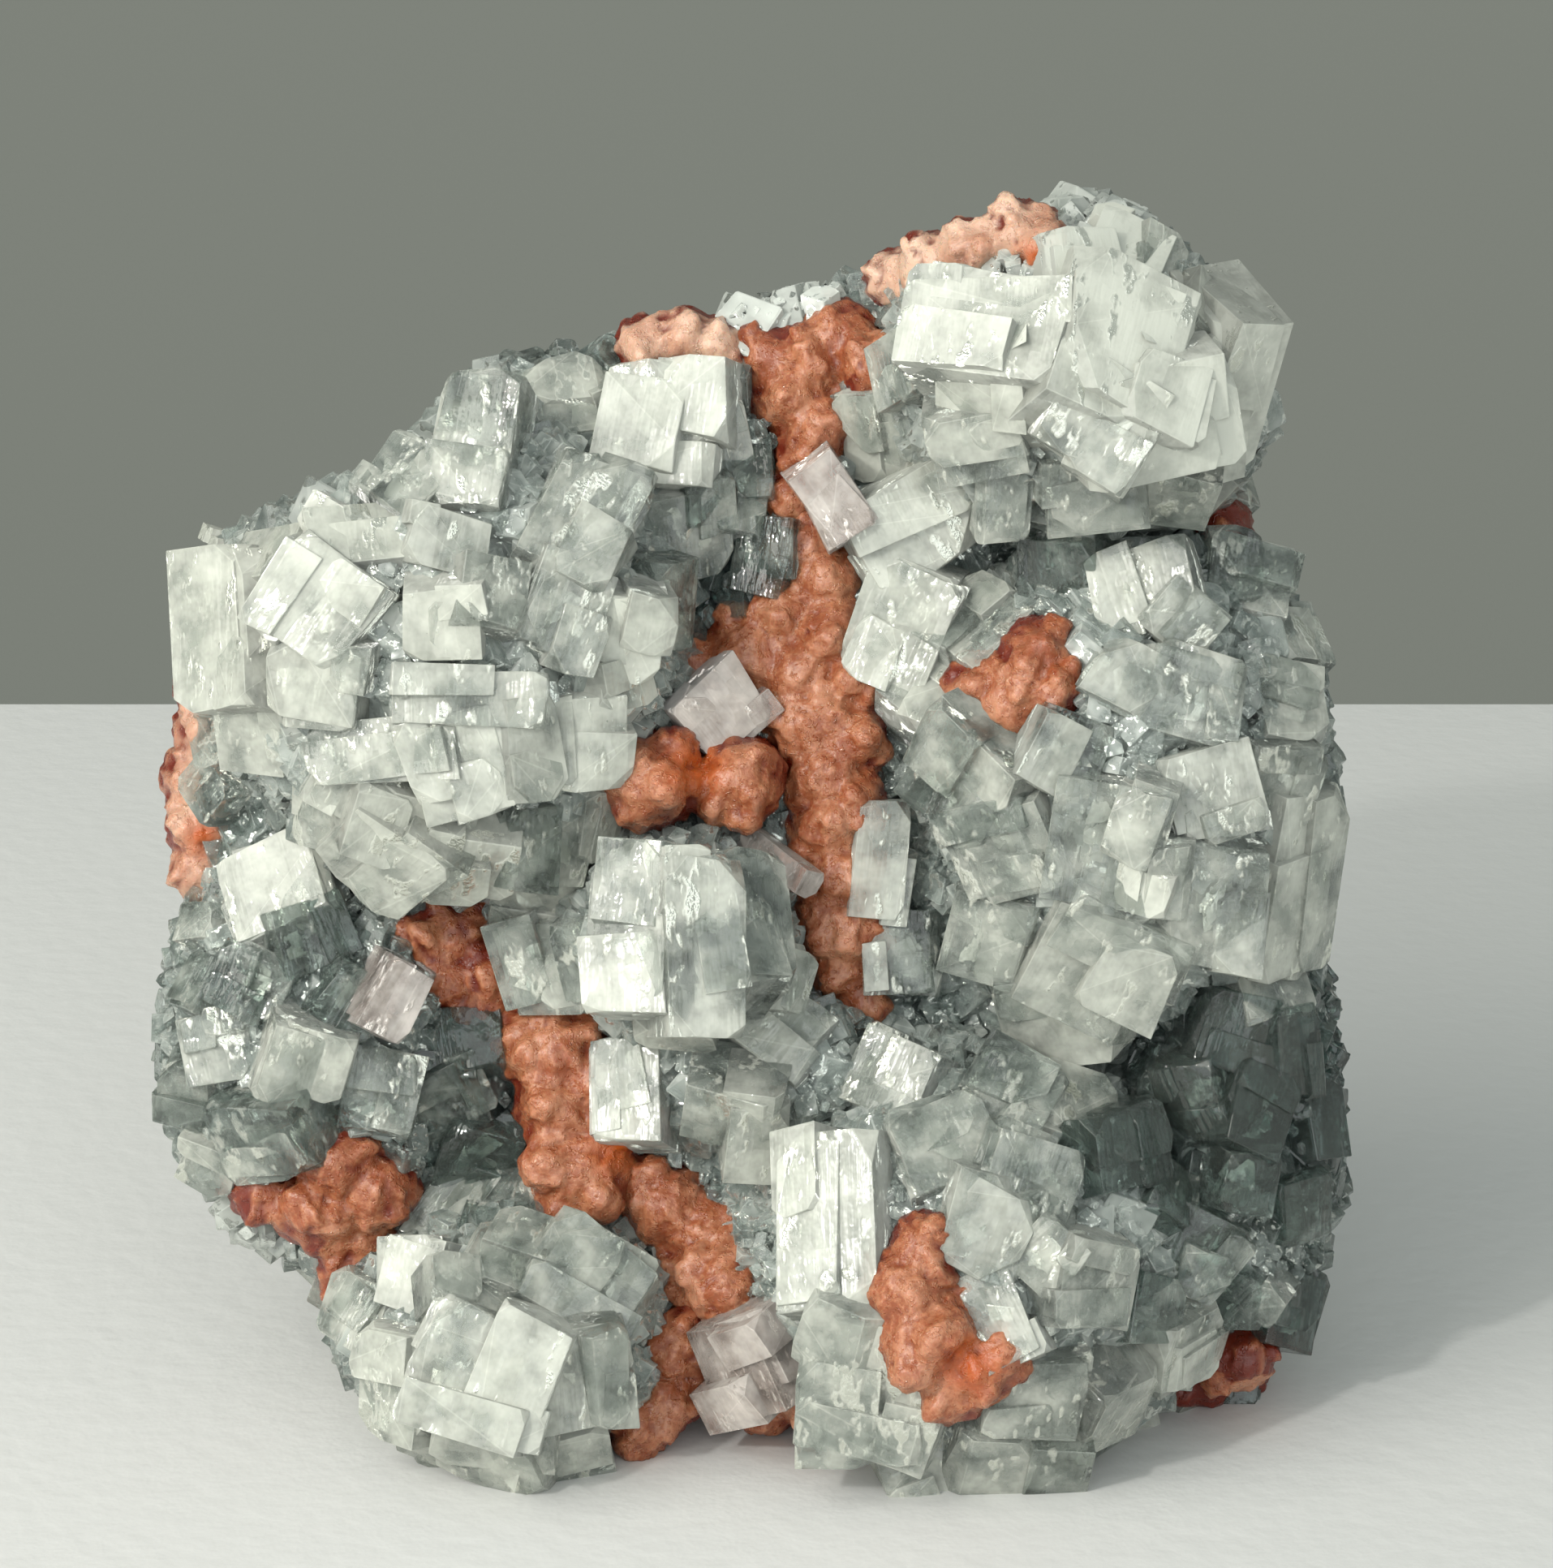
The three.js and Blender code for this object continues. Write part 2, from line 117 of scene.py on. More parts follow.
@dataclass(frozen=True)
class Relief:
    """The mounds together, as one surface over the plate."""

    mounds: tuple[Mound, ...]
    facing: float = 0.55
    inset: float = 2.5
    back: float = 5.0

    def height(self, x: float, z: float) -> float:
        """Returns how far the mounds stand out of the plate's mid-plane at x, z."""
        highest = 0.0
        for mound in self.mounds:
            rest = 1 - ((x - mound.x) / mound.half_width) ** 2 - ((z - mound.z) / mound.half_height) ** 2
            if rest > 0:
                highest = max(highest, mound.out * math.sqrt(rest))
        return highest

    def normal(self, x: float, z: float, reach: float = 2.5) -> Vector:
        """Finds the way that a block at x, z faces.

        Args:
            x: Place across the plate.
            z: Place up the plate.
            reach: How far to each side the slope is read.

        Returns:
            A unit vector between straight out and the surface's own normal.
        """
        slope_x = (self.height(x + reach, z) - self.height(x - reach, z)) / (2 * reach)
        slope_z = (self.height(x, z + reach) - self.height(x, z - reach)) / (2 * reach)
        return Vector((-self.facing * slope_x, -1.0, -self.facing * slope_z)).normalized()


MOUNDS = {
    "bed": Mound(0, 58, 53, 56, 9),
    "upper_left": Mound(-27, 78, 24, 25, 24),
    "upper_right": Mound(29, 102, 19, 17, 25),
    "middle_right": Mound(33.5, 65, 21, 27, 23),
    "centre": Mound(-6.5, 52, 13, 13, 22),
    "lower_left": Mound(-39.5, 41, 16, 22, 13),
    "bottom_left": Mound(-22, 14, 18, 15, 22),
    "lower_right": Mound(20, 22, 25, 23, 27),
    "right_flank": Mound(43, 34, 12, 24, 16),
    "middle_ridge": Mound(2, 39, 17, 10, 17),
}

PLATE = PlateFrame()
RELIEF = Relief(tuple(MOUNDS.values()))

# The whole outline, x and z, clockwise from the peak.
OUTLINE = (
    (32, 118.5), (37, 114.5), (42.5, 108), (46.5, 100.5), (46.5, 95), (44.5, 88.5), (49.5, 84.5), (51, 77),
    (53, 62), (52, 48), (54.5, 39.5), (53.5, 27.5), (50.5, 16), (46, 7), (39.5, 1), (30.5, -1.5),
    (19, 1.5), (9.5, 5), (0.5, 7.5), (-6.5, 7.5), (-12, 5.5), (-19.5, 2), (-29.5, 4), (-39.5, 14.5),
    (-47, 22), (-53, 31), (-55, 42.5), (-53, 55.5), (-53.5, 63), (-52, 76.5), (-50.5, 85.5), (-45.5, 88.5),
    (-37.5, 91.5), (-30, 96), (-25, 102.5), (-14.5, 104.5), (-4, 108), (8.5, 110.5), (22, 115.5),
)
PLATE_CENTRE = (0.0, 58.0)


def reach_at(x: float, z: float) -> float:
    """Returns how far from the plate's centre the outline is, on the way to x, z."""
    centre_x, centre_z = PLATE_CENTRE
    way_x, way_z = x - centre_x, z - centre_z
    length = math.hypot(way_x, way_z) or 1.0
    best = 0.0
    for (ax, az), (bx, bz) in zip(OUTLINE, OUTLINE[1:] + OUTLINE[:1]):
        edge_x, edge_z = bx - ax, bz - az
        across = way_x * edge_z - way_z * edge_x
        if abs(across) < 1e-9:
            continue
        far = ((ax - centre_x) * edge_z - (az - centre_z) * edge_x) / across
        along = ((ax - centre_x) * way_z - (az - centre_z) * way_x) / across
        if far > 0 and 0 <= along <= 1:
            best = max(best, far * length)
    return best


# ---------------------------------------------------------------- tables of blocks and lumps

# Blocks by mound: x, z, width, height, turn (degrees clockwise from the front), then, where they differ
# from 1, 0 and 0, how far the front stands proud of the mounds, nod and swing (degrees).
BLOCKS: dict[str, tuple[tuple[float, ...], ...]] = {
    "upper_left": (
        (-8.5, 99, 10.5, 10, 8, 3.5, -6, -8), (-14.5, 90.5, 8, 11, 28, 4), (-24.5, 97, 6.5, 11.5, 14, 3),
        (-17, 100.5, 8, 7.5, -5, 1.5), (-30.5, 94, 6, 6.5, 35), (-38, 90, 4, 3.5, 30),
        (-34, 89, 9, 5, -8, 0.5), (-26.5, 88, 6.5, 5, 12), (-44, 87, 8, 5.5, 0), (-47.5, 80, 10, 13, -4, 2.5),
        (-38, 82.5, 8.5, 8.5, 35, 3), (-38.5, 76, 8, 7, 14, 2), (-27, 81, 6.5, 6, -4, 1.5),
        (-22.5, 84, 6, 5.5, 10, 2), (-16, 82, 6.5, 8.5, 20, 2), (-5.5, 88, 7.5, 8, -12, 2),
        (-11.5, 79.5, 7, 8, 8, 2), (-7, 82, 5, 7.5, -4), (-24.5, 74.5, 13, 5, 2, 1.5),
        (-19, 70, 5, 8.5, -2, 2.5), (-14, 70.5, 6.5, 7.5, 2, 1.5), (-32.5, 70, 14, 5.5, -6, 1.5),
        (-25.5, 68.5, 8, 8, -15, 2), (-45, 70.5, 6, 7, 5), (-11, 75.5, 6, 4.5, -8),
        (-35.5, 66, 6, 5, 30, 1.5), (-33, 59.5, 9.5, 9.5, 40, 4, 8), (-25, 59, 8, 7, 12, 3, 8),
        (-30.5, 62.5, 10, 6.5, 25, 2.5), (-43.5, 57, 9, 8, -20, 1.5), (-39, 63, 6, 5, 10),
        (0.5, 86, 5, 6, 10), (-1, 92.5, 5, 8, 4), (-3, 97, 5, 6, -10), (-50, 86, 4, 4, 20),
    ),
    "upper_right": (
        (20, 107, 14, 8.5, 8, 4.5, -4), (33.5, 105.5, 12, 12, 20, 3), (36, 98.5, 12, 9, -10, 3.5, 6),
        (30, 99, 9, 9, 30, 4), (43, 100, 6.5, 15, -5, 1.5), (11.5, 96.5, 9, 8, -4, 3),
        (12.5, 103.5, 7, 6, -20, 2), (19.5, 101.5, 8, 6, 12, 2), (15, 89, 11.5, 7.5, -30, 6, 4),
        (19.5, 96, 8, 6, -12, 2), (22, 91.5, 4.5, 8, 8, 2), (33.5, 114.5, 6, 5, 25), (32, 117, 3, 3.5, 45),
        (36.5, 113.5, 4.5, 4.5, 10), (29.5, 112.5, 7, 6, -15), (30, 92, 8, 6.5, -8), (36.5, 91.5, 8, 6, 5),
        (42.5, 91, 6, 5, 20), (41, 108, 6, 6, 30),
    ),
    "middle_right": (
        (13, 80, 7.5, 10, 24, 5), (16, 76, 6.5, 8.5, 32, 4), (20, 80.5, 6.5, 7.5, 35, 2),
        (18, 66.5, 9.5, 9.5, 38, 4), (28, 69.5, 6, 6, 20, 1.5), (30.5, 61.5, 9, 10.5, 10, 2),
        (40, 56, 9, 10, 4, 2.5), (34, 57.5, 4.5, 4, 12, 2.5), (49, 57, 7.5, 17, 0, 1.5),
        (11.5, 59, 5, 10, 6, 4), (21.5, 60.5, 9, 8, -15, 2.5), (13.5, 50.5, 6, 7, 0, 3),
        (30.5, 49.5, 12, 11, 25, 2), (27, 44.5, 9, 8.5, -15, 2.5), (47, 47.5, 7.5, 4.5, -8, 1.5),
        (38, 75, 8, 7, 15), (45, 84.5, 7, 6.5, 20, 1.5), (49, 79.5, 5, 6, 0), (48, 73.5, 6.5, 7, 10),
        (34.5, 84, 8, 6.5, -10), (27, 85.5, 7.5, 6, 0, 1.5), (40.5, 66.5, 8, 7, -12, 1.5),
        (46.5, 66.5, 7, 6.5, 5), (33, 76.5, 6, 6, 30), (20.5, 52.5, 7, 8, 15, 2), (38, 81, 6, 5, 40),
    ),
    "centre": (
        (-11, 54.5, 7.5, 13.5, 0, 3, -3, -3), (-4, 53, 6.5, 15, 0, 4.5, -3), (0.5, 55, 6.5, 12, 5, 2),
        (-19, 49, 8, 8, -10, 4), (-19.5, 55, 8, 5.5, 10, 3), (-18, 60.5, 8.5, 7.5, 15, 1.5),
        (-13.5, 62.5, 4, 6.5, 0, 2), (2, 44.5, 8, 6, 40, 1.5), (-7, 43.5, 6.5, 3.5, -5, 2),
        (3, 49, 5, 6, 20, 1.5),
    ),
    "lower_left": (
        (-51, 53, 5, 3.5, 0), (-45, 48, 6.5, 6, 25), (-39.5, 52.5, 7, 6, -20), (-50.5, 48, 5, 5, 10),
        (-40.5, 40.5, 7, 7.5, 20, 2), (-48.5, 42, 6, 6, -15), (-52, 37, 5, 6, 10),
        (-44.5, 33.5, 9.5, 7, -10, 2), (-36, 46.5, 5.5, 6, 30), (-33.5, 38.5, 6, 7, 10),
        (-28, 36.5, 7, 6.5, -25), (-25, 31, 7, 7, 20, 1.5), (-28, 27.5, 8, 9, 35), (-22, 28, 7, 8, 15),
        (-27, 42.5, 8, 6, -10, 1.5), (-50, 30, 5, 5, 25),
    ),
    "bottom_left": (
        (-24, 21.5, 8, 4.5, 8, 2), (-24, 15, 12, 10.5, 20, 4), (-32.5, 13, 6.5, 9, 3, 2),
        (-15, 14, 8.5, 9, -5, 3), (-14.5, 22, 10, 9, 35, 2), (-24, 6, 10.5, 7.5, 4, 2.5),
        (-16.5, 5.5, 8, 6, -12, 1.5), (-36.5, 18, 6, 6, 20), (-31, 22, 6, 6, 15), (-29.5, 6.5, 5, 5, 30),
        (-21, 24.5, 8, 7, 15, 2),
    ),
    "lower_right": (
        (17, 35.5, 8, 7, -20, 2), (22.5, 38.5, 8, 8, 30, 1.5), (29, 38.5, 8, 7, 10, 1.5),
        (-11.5, 38.5, 6, 9, -5, 3), (-2.5, 36, 8, 7, 10, 2), (24.5, 32, 8, 8, 20, 2),
        (12, 40.5, 7.5, 7, 30, 3), (6.5, 29, 9, 14.5, -4, 4, -4), (0.5, 34, 5.5, 7.5, 8, 3),
        (20.5, 28, 7, 7.5, 20, 2), (25.5, 26, 5.5, 6, 45, 2), (21, 20.5, 5.5, 8.5, -25, 2),
        (30.5, 23, 8, 7, 10, 2), (10, 13.5, 11.5, 13, 12, 3.5), (15.5, 6, 8, 7, -8, 1.5),
        (23.5, 5, 11, 10, 6, 2.5, 4), (32.5, 10, 7.5, 9, -2, 3), (25.5, 12.5, 8, 8, 5, 2),
        (39, 15.5, 8.5, 7, -10, 3), (31.5, 3.5, 5, 5.5, 25), (35.5, 4.5, 4.5, 5, -20), (6, 21, 6, 5, 10),
    ),
    "right_flank": (
        (43.5, 44, 7, 6.5, 15, 1.5), (49, 42, 5.5, 7.5, -8, 1.5), (45.5, 37, 6, 7, 25, 1.5),
        (39, 38, 6, 6.5, -12, 1.5), (33.5, 34, 8, 7, -15, 3), (40, 24.5, 7, 6.5, 30, 2),
        (42.5, 7, 8, 8, 15, 2), (44.5, 30.5, 5.5, 6, 10, 1.5), (49.5, 17.5, 6, 7, 20),
        (50, 27.5, 5, 6.5, -10, 1.5), (52, 35.5, 4.5, 7, 0), (38, 30, 6, 5.5, 25, 1.5),
        (44, 19, 5.5, 5, 40, 1.5), (36, 20, 5, 5.5, 15, 1.5),
    ),
}

# How milky the blocks of each mound are: 1 is cloudy, 0 clear, and less than 0 clear with glass tinted dark
# teal, painted shade for the shaded right flank.
MILKINESS = {
    "upper_left": 0.8, "upper_right": 0.8, "middle_right": 0.6, "centre": 0.62, "lower_left": 0.45,
    "bottom_left": 0.75, "lower_right": 0.65, "right_flank": -0.2, "middle_ridge": 0.6,
}


# The mounds whose blocks are so large that few small crystals show between them.
LARGE_BLOCKED = ("upper_left", "upper_right", "centre", "bottom_left")


@dataclass(frozen=True)
class Cluster:
    """One cluster of stilbite.

    Its lumps are rows of x, z, radius and how far each stands proud of the mounds. Red says how far its
    colour goes towards dark red, partly the stilbite's own deeper red and partly painted shade, and pale how
    far it goes towards peach white.
    """

    lumps: tuple[tuple[float, ...], ...]
    red: float = 0.0
    pale: float = 0.0


CLUSTERS = {
    "top_seam": Cluster(
        (
            (8, 105.4, 4.2, 3.6), (11, 103, 3.4, 3.6), (3.6, 100.8, 4.6, 3.4), (6.2, 98, 3.6, 3.6),
            (5, 95.2, 3.8, 3), (3.6, 91.4, 3.2, 2.4), (1.4, 104, 3.4, 2.6), (5, 104.2, 3.4, 3.2),
        ),
        red=0.1,
    ),
    "central_seam": Cluster(
        (
            (5, 88, 3.2, 2.6), (6.4, 84, 4, 3.4), (2.6, 81, 3.6, 3), (7, 79.6, 4, 4), (0, 77.4, 4.4, 3),
            (-4.6, 75.6, 4, 2), (4.2, 75.6, 4.4, 4), (9, 75.4, 3.4, 4), (5, 71.2, 4.4, 4.4),
            (9, 70, 3.4, 4.6), (6.4, 66.6, 4.6, 4.6), (9.2, 64, 3.2, 4.8), (6.6, 62, 4.2, 4.6),
            (8, 57.6, 4.2, 4.6), (7, 53.6, 4, 4.4), (9.4, 52, 3.2, 4.8), (8, 49.4, 3.8, 4),
            (9.8, 46.2, 2.8, 3),
        ),
    ),
    "bow_tie": Cluster(((-9.4, 66.2, 4.7, 8.5), (-1.2, 66.2, 4.4, 9))),
    "right_pocket": Cluster(
        ((21, 74.2, 3.9, 2.4), (25.4, 77.4, 3.9, 2.8), (23.4, 73.6, 4, 2.8), (26.8, 74.8, 3, 2.4)), red=0.12
    ),
    "left_edge": Cluster(
        (
            (-50.8, 73.6, 3.2, 1.6), (-50, 69.6, 4, 2), (-51, 65.2, 4, 2.4), (-50.6, 60.8, 4, 2.2),
            (-50.8, 57, 3.4, 1.6),
        ),
        pale=0.45,
    ),
    "left_pocket": Cluster(
        (
            (-27.2, 51.6, 4.2, 3), (-24.4, 48.2, 3.8, 3), (-28, 47.6, 4, 2.6), (-30, 51, 3.2, 2.4),
            (-25, 45.2, 3, 2.4),
        ),
        red=0.3,
    ),
    "lower_column": Cluster(
        (
            (-17.6, 41.2, 4.4, 5), (-14.2, 38.6, 4.2, 5), (-20.6, 42, 3.6, 4), (-17.6, 36.2, 4.6, 5.4),
            (-15.8, 30.4, 5.9, 6.6), (-12.6, 35, 3.6, 5.6),
        ),
    ),
    "lower_fan": Cluster(
        (
            (-8.2, 26.8, 4.6, 4), (-4.6, 24, 4.8, 4.6), (-2.4, 20, 4.6, 4.4), (-10.2, 28.8, 3.2, 3),
            (-6.4, 19.4, 3.8, 3.4),
        ),
        red=0.08,
    ),
    "bottom_seam": Cluster(
        (
            (-8, 9.8, 3.8, 3.4), (-10.4, 7.6, 3.2, 2.6), (-7.4, 14.4, 3.6, 3), (1.6, 9.4, 3.6, 3),
            (5.2, 9.8, 2.8, 2.2),
        ),
        red=0.12,
    ),
    "lower_left": Cluster(
        (
            (-37.8, 31.6, 4.4, 3), (-34.4, 28.8, 4.2, 3.4), (-40, 27, 4.6, 2.8), (-35.8, 23.8, 4.2, 2.8),
            (-45, 28.2, 3.4, 1.8), (-37, 20.2, 3.4, 2),
        ),
        red=0.22,
    ),
    "lower_right": Cluster(
        (
            (15.2, 26.4, 3.2, 4.4), (13.6, 22.6, 4.2, 5.6), (15.4, 18.6, 5.2, 6.4), (19.6, 16.2, 4.2, 5.6),
            (17.2, 14, 3.8, 5.2),
        ),
    ),
    "right_foot": Cluster(((44.2, 13.4, 4.4, 3.6), (41.2, 10.2, 4, 3.6), (45.4, 9.6, 3, 2.6)), red=0.75),
    "right_notch": Cluster(((42.2, 88.6, 3.4, 2.5),), red=0.7),
    "top_rim": Cluster(
        (
            (13.2, 111, 3.2, 3.2), (16.2, 112.2, 3.2, 3.3), (19.6, 113.4, 3.2, 3.4), (23.8, 114.6, 3.5, 3.4),
            (26, 113.4, 2.8, 3),
        ),
        pale=0.65,
    ),
    "top_left_rim": Cluster(
        ((-9.8, 104.8, 3.2, 2.8), (-6.2, 105.6, 3.2, 3.2), (-3.6, 104.8, 3.2, 2.8)),
        pale=0.6,
    ),
}

# Places of deep orange in the stilbite: x, z and reach.
ORANGE_CORES = (
    (-5.2, 67.7, 3.8), (-12.2, 32.7, 3.4), (18.9, 16.9, 3.6), (-50.4, 60.5, 2.6), (24.6, 112.8, 2.6),
)

# Places where the crystals are milkier than their mound, or clearer: x, z, reach and how much. Clearer
# crystals get darker teal glass, as painted shade.
MILKY_SPOTS = (
    (-47.5, 79, 7, 0.05), (34, 57.5, 3.4, 0.7), (31, 100, 9, 0.2), (-8.5, 98, 7, 0.15), (24, 107, 5, 0.2),
    (-2, 82, 8, -0.9), (-1.5, 90, 5, -0.7), (-38, 48, 8, -0.4), (-26, 38, 10, -0.6), (-22, 28, 7, -0.3),
    (3, 106.5, 8, 1.4), (-2, 103, 4, 0.8), (41, 23, 9, 0.5), (30, 108, 8, 0.6), (30, 116, 7, 0.8),
    (46, 38, 12, -0.3), (-45, 26, 5, 1.0), (-47, 20.5, 4, -0.8), (27, 89, 8, -0.4), (14, 52, 6, -0.3),
    (40, 86, 7, -0.3), (20, 33, 7, -0.2),
)


def milk_at(x: float, z: float) -> float:
    """Returns how much milkier than its mound a crystal at x, z is."""
    made = 0.0
    for spot_x, spot_z, reach, more in MILKY_SPOTS:
        made += more * max(0.0, min(1.0, 2 - 2 * math.hypot(x - spot_x, z - spot_z) / reach))
    return made


# Apophyllite blocks that stand on the stilbite: a row as in BLOCKS.
PERCHED: dict[str, tuple[float, ...]] = {
    "apophyllite_on_bow_tie": (-2.4, 72.6, 6.8, 6.4, -40, 4.0),
    "apophyllite_small_in_seam": (5.0, 57.4, 2.3, 2.5, 20, 8.6),
    "apophyllite_top_of_seam": (7, 91.4, 4.5, 7.5, -35, 8),
    "apophyllite_left_pocket": (-31.8, 46.6, 4.4, 6.4, 30, 5),
    "apophyllite_bottom_left_of_seam": (-1.8, 13.4, 9, 8.6, -25, 9),
}


# ---------------------------------------------------------------- node trees

Entry = Union["Value", bpy.types.NodeSocket, float, int, bool, str, Sequence[float], bpy.types.ID]


class Bench:
    """Adds nodes to one tree, settings first and inputs after."""

    def __init__(self, tree: bpy.types.NodeTree) -> None:
        """Keeps the tree that the nodes go into."""
        self.tree = tree

    def feed(self, socket: bpy.types.NodeSocket, entry: Entry) -> None:
        """Links or sets one input.

        Args:
            socket: The input.
            entry: An expression, a socket to link from, or a plain value.
        """
        source = entry.socket if isinstance(entry, Value) else entry
        if isinstance(source, bpy.types.NodeSocket):
            self.tree.links.new(source, socket)
        else:
            socket.default_value = source

    def node(
        self, kind: str, settings: dict[str, Any] | None = None, inputs: dict[str | int, Entry] | None = None
    ) -> bpy.types.Node:
        """Adds a node.

        Args:
            kind: The node's type name.
            settings: Its properties.
            inputs: Its inputs by name or index.

        Returns:
            The node.
        """
        made = self.tree.nodes.new(kind)
        for name, setting in (settings or {}).items():
            setattr(made, name, setting)
        for key, entry in (inputs or {}).items():
            self.feed(made.inputs[key], entry)
        return made

    def value(
        self,
        kind: str,
        settings: dict[str, Any] | None = None,
        inputs: dict[str | int, Entry] | None = None,
        output: str | int = 0,
    ) -> "Value":
        """Adds a node and returns one of its outputs as an expression."""
        return Value(self, self.node(kind, settings, inputs).outputs[output])

    def blend(self, share: Entry, first: Entry, second: Entry) -> "Value":
        """Mixes two colours.

        Args:
            share: 0 gives the first and 1 the second.
            first: A colour.
            second: A colour.

        Returns:
            The mixed colour.
        """
        settings = {"data_type": "RGBA", "clamp_factor": True}
        return self.value("ShaderNodeMix", settings, {0: share, 6: first, 7: second}, 2)


class Value:
    """A node output that can be used in Python arithmetic."""

    def __init__(self, bench: Bench, socket: bpy.types.NodeSocket) -> None:
        """Wraps an output socket."""
        self.bench = bench
        self.socket = socket

    def _math(self, operation: str, first: Entry, second: Entry = 0.0, clamp: bool = False) -> "Value":
        """Adds one Math node."""
        settings = {"operation": operation, "use_clamp": clamp}
        return self.bench.value("ShaderNodeMath", settings, {0: first, 1: second})

    def __add__(self, other: Entry) -> "Value":
        """Returns self + other."""
        return self._math("ADD", self, other)

    __radd__ = __add__

    def __sub__(self, other: Entry) -> "Value":
        """Returns self - other."""
        return self._math("SUBTRACT", self, other)

    def __rsub__(self, other: Entry) -> "Value":
        """Returns other - self."""
        return self._math("SUBTRACT", other, self)

    def __mul__(self, other: Entry) -> "Value":
        """Returns self * other."""
        return self._math("MULTIPLY", self, other)

    __rmul__ = __mul__

    def __pow__(self, other: Entry) -> "Value":
        """Returns self to the power other."""
        return self._math("POWER", self, other)

    def clamped(self) -> "Value":
        """Returns the value held between 0 and 1."""
        return self._math("ADD", self, 0.0, clamp=True)

    def ramp(self, low: float, high: float) -> "Value":
        """Returns 0 below low, 1 above high and a smooth rise between."""
        settings = {"interpolation_type": "SMOOTHSTEP"}
        inputs = {"Value": self, "From Min": low, "From Max": high}
        return self.bench.value("ShaderNodeMapRange", settings, inputs)

    def stretched(self, x: float, y: float, z: float) -> "Value":
        """Returns a vector scaled along each axis."""
        inputs = {0: self, 1: (x, y, z)}
        return self.bench.value("ShaderNodeVectorMath", {"operation": "MULTIPLY"}, inputs)

    def noise(self, scale: float, detail: float = 2.0, roughness: float = 0.5) -> "Value":
        """Returns fractal noise read at this vector."""
        inputs = {"Vector": self, "Scale": scale, "Detail": detail, "Roughness": roughness}
        return self.bench.value("ShaderNodeTexNoise", {}, inputs, "Fac")

    def cells(self, scale: float, feature: str = "F1") -> "Value":
        """Returns the distance to cells read at this vector."""
        inputs = {"Vector": self, "Scale": scale}
        return self.bench.value("ShaderNodeTexVoronoi", {"feature": feature}, inputs, "Distance")

    def facets(self, scale: float) -> "Value":
        """Returns one small random turn for each squarish cell read at this vector."""
        settings = {"feature": "F1", "distance": "CHEBYCHEV"}
        turn = self.bench.value("ShaderNodeTexVoronoi", settings, {"Vector": self, "Scale": scale}, "Color")
        inputs = {0: turn, 1: (0.5, 0.5, 0.5)}
        return self.bench.value("ShaderNodeVectorMath", {"operation": "SUBTRACT"}, inputs)


class Surface:
    """A material being made: its bench, coordinates and output."""

    def __init__(self, name: str) -> None:
        """Starts an empty material of that name."""
        self.material = bpy.data.materials.new(name)
        self.material.use_nodes = True
        self.material.node_tree.nodes.clear()
        self.bench = Bench(self.material.node_tree)
        self.output = self.bench.node("ShaderNodeOutputMaterial")

    def millimetres(self) -> Value:
        """Returns the place on the object, in millimetres."""
        coordinate = self.bench.value("ShaderNodeTexCoord", output="Object")
        return coordinate.stretched(1 / MM, 1 / MM, 1 / MM)

    def attribute(self, name: str, output: str = "Fac") -> Value:
        """Returns a mesh attribute."""
        return self.bench.value("ShaderNodeAttribute", {"attribute_name": name}, output=output)

    def bump(self, height: Entry, strength: float, depth_mm: float) -> Value:
        """Returns a normal raised by a height.

        Args:
            height: The height, 0 to 1.
            strength: The bump's strength.
            depth_mm: What a height of 1 stands for.

        Returns:
            The normal.
        """
        inputs = {"Strength": strength, "Distance": depth_mm * MM, "Height": height}
        return self.bench.value("ShaderNodeBump", {}, inputs)

    def turned(self, whole: Entry, part: Entry, share: float) -> Value:
        """Returns a normal turned by a share of another direction.

        Args:
            whole: The direction that counts in full.
            part: The direction that counts in part.
            share: How much the second direction counts.

        Returns:
            The normal.
        """
        scaled = self.bench.value("ShaderNodeVectorMath", {"operation": "SCALE"}, {0: part, "Scale": share})
        both = self.bench.value("ShaderNodeVectorMath", {"operation": "ADD"}, {0: scaled, 1: whole})
        return self.bench.value("ShaderNodeVectorMath", {"operation": "NORMALIZE"}, {0: both})

    def principled(self, inputs: dict[str | int, Entry]) -> bpy.types.NodeSocket:
        """Adds a Principled shader and returns its output."""
        return self.bench.node("ShaderNodeBsdfPrincipled", {}, inputs).outputs[0]

    def crystal(self, share: Entry, glass: dict[str, Entry], milky: dict[str, Entry]) -> bpy.types.NodeSocket:
        """Mixes clear and milky crystal.

        Args:
            share: How much of it is milky.
            glass: The clear part's inputs.
            milky: The milky part's inputs.

        Returns:
            The mixed shader.
        """
        clear = self.principled({**glass, "IOR": CRYSTAL_IOR, "Transmission Weight": 1.0})
        cloudy = self.principled({**milky, "IOR": CRYSTAL_IOR})
        return self.bench.node("ShaderNodeMixShader", {}, {0: share, 1: clear, 2: cloudy}).outputs[0]

    def finish(
        self, shader: bpy.types.NodeSocket, volume: bpy.types.NodeSocket | None = None
    ) -> bpy.types.Material:
        """Links the shaders to the output and returns the material."""
        self.bench.feed(self.output.inputs["Surface"], shader)
        if volume is not None:
            self.bench.feed(self.output.inputs["Volume"], volume)
        return self.material


# ---------------------------------------------------------------- finishes

CRYSTAL_IOR = 1.535


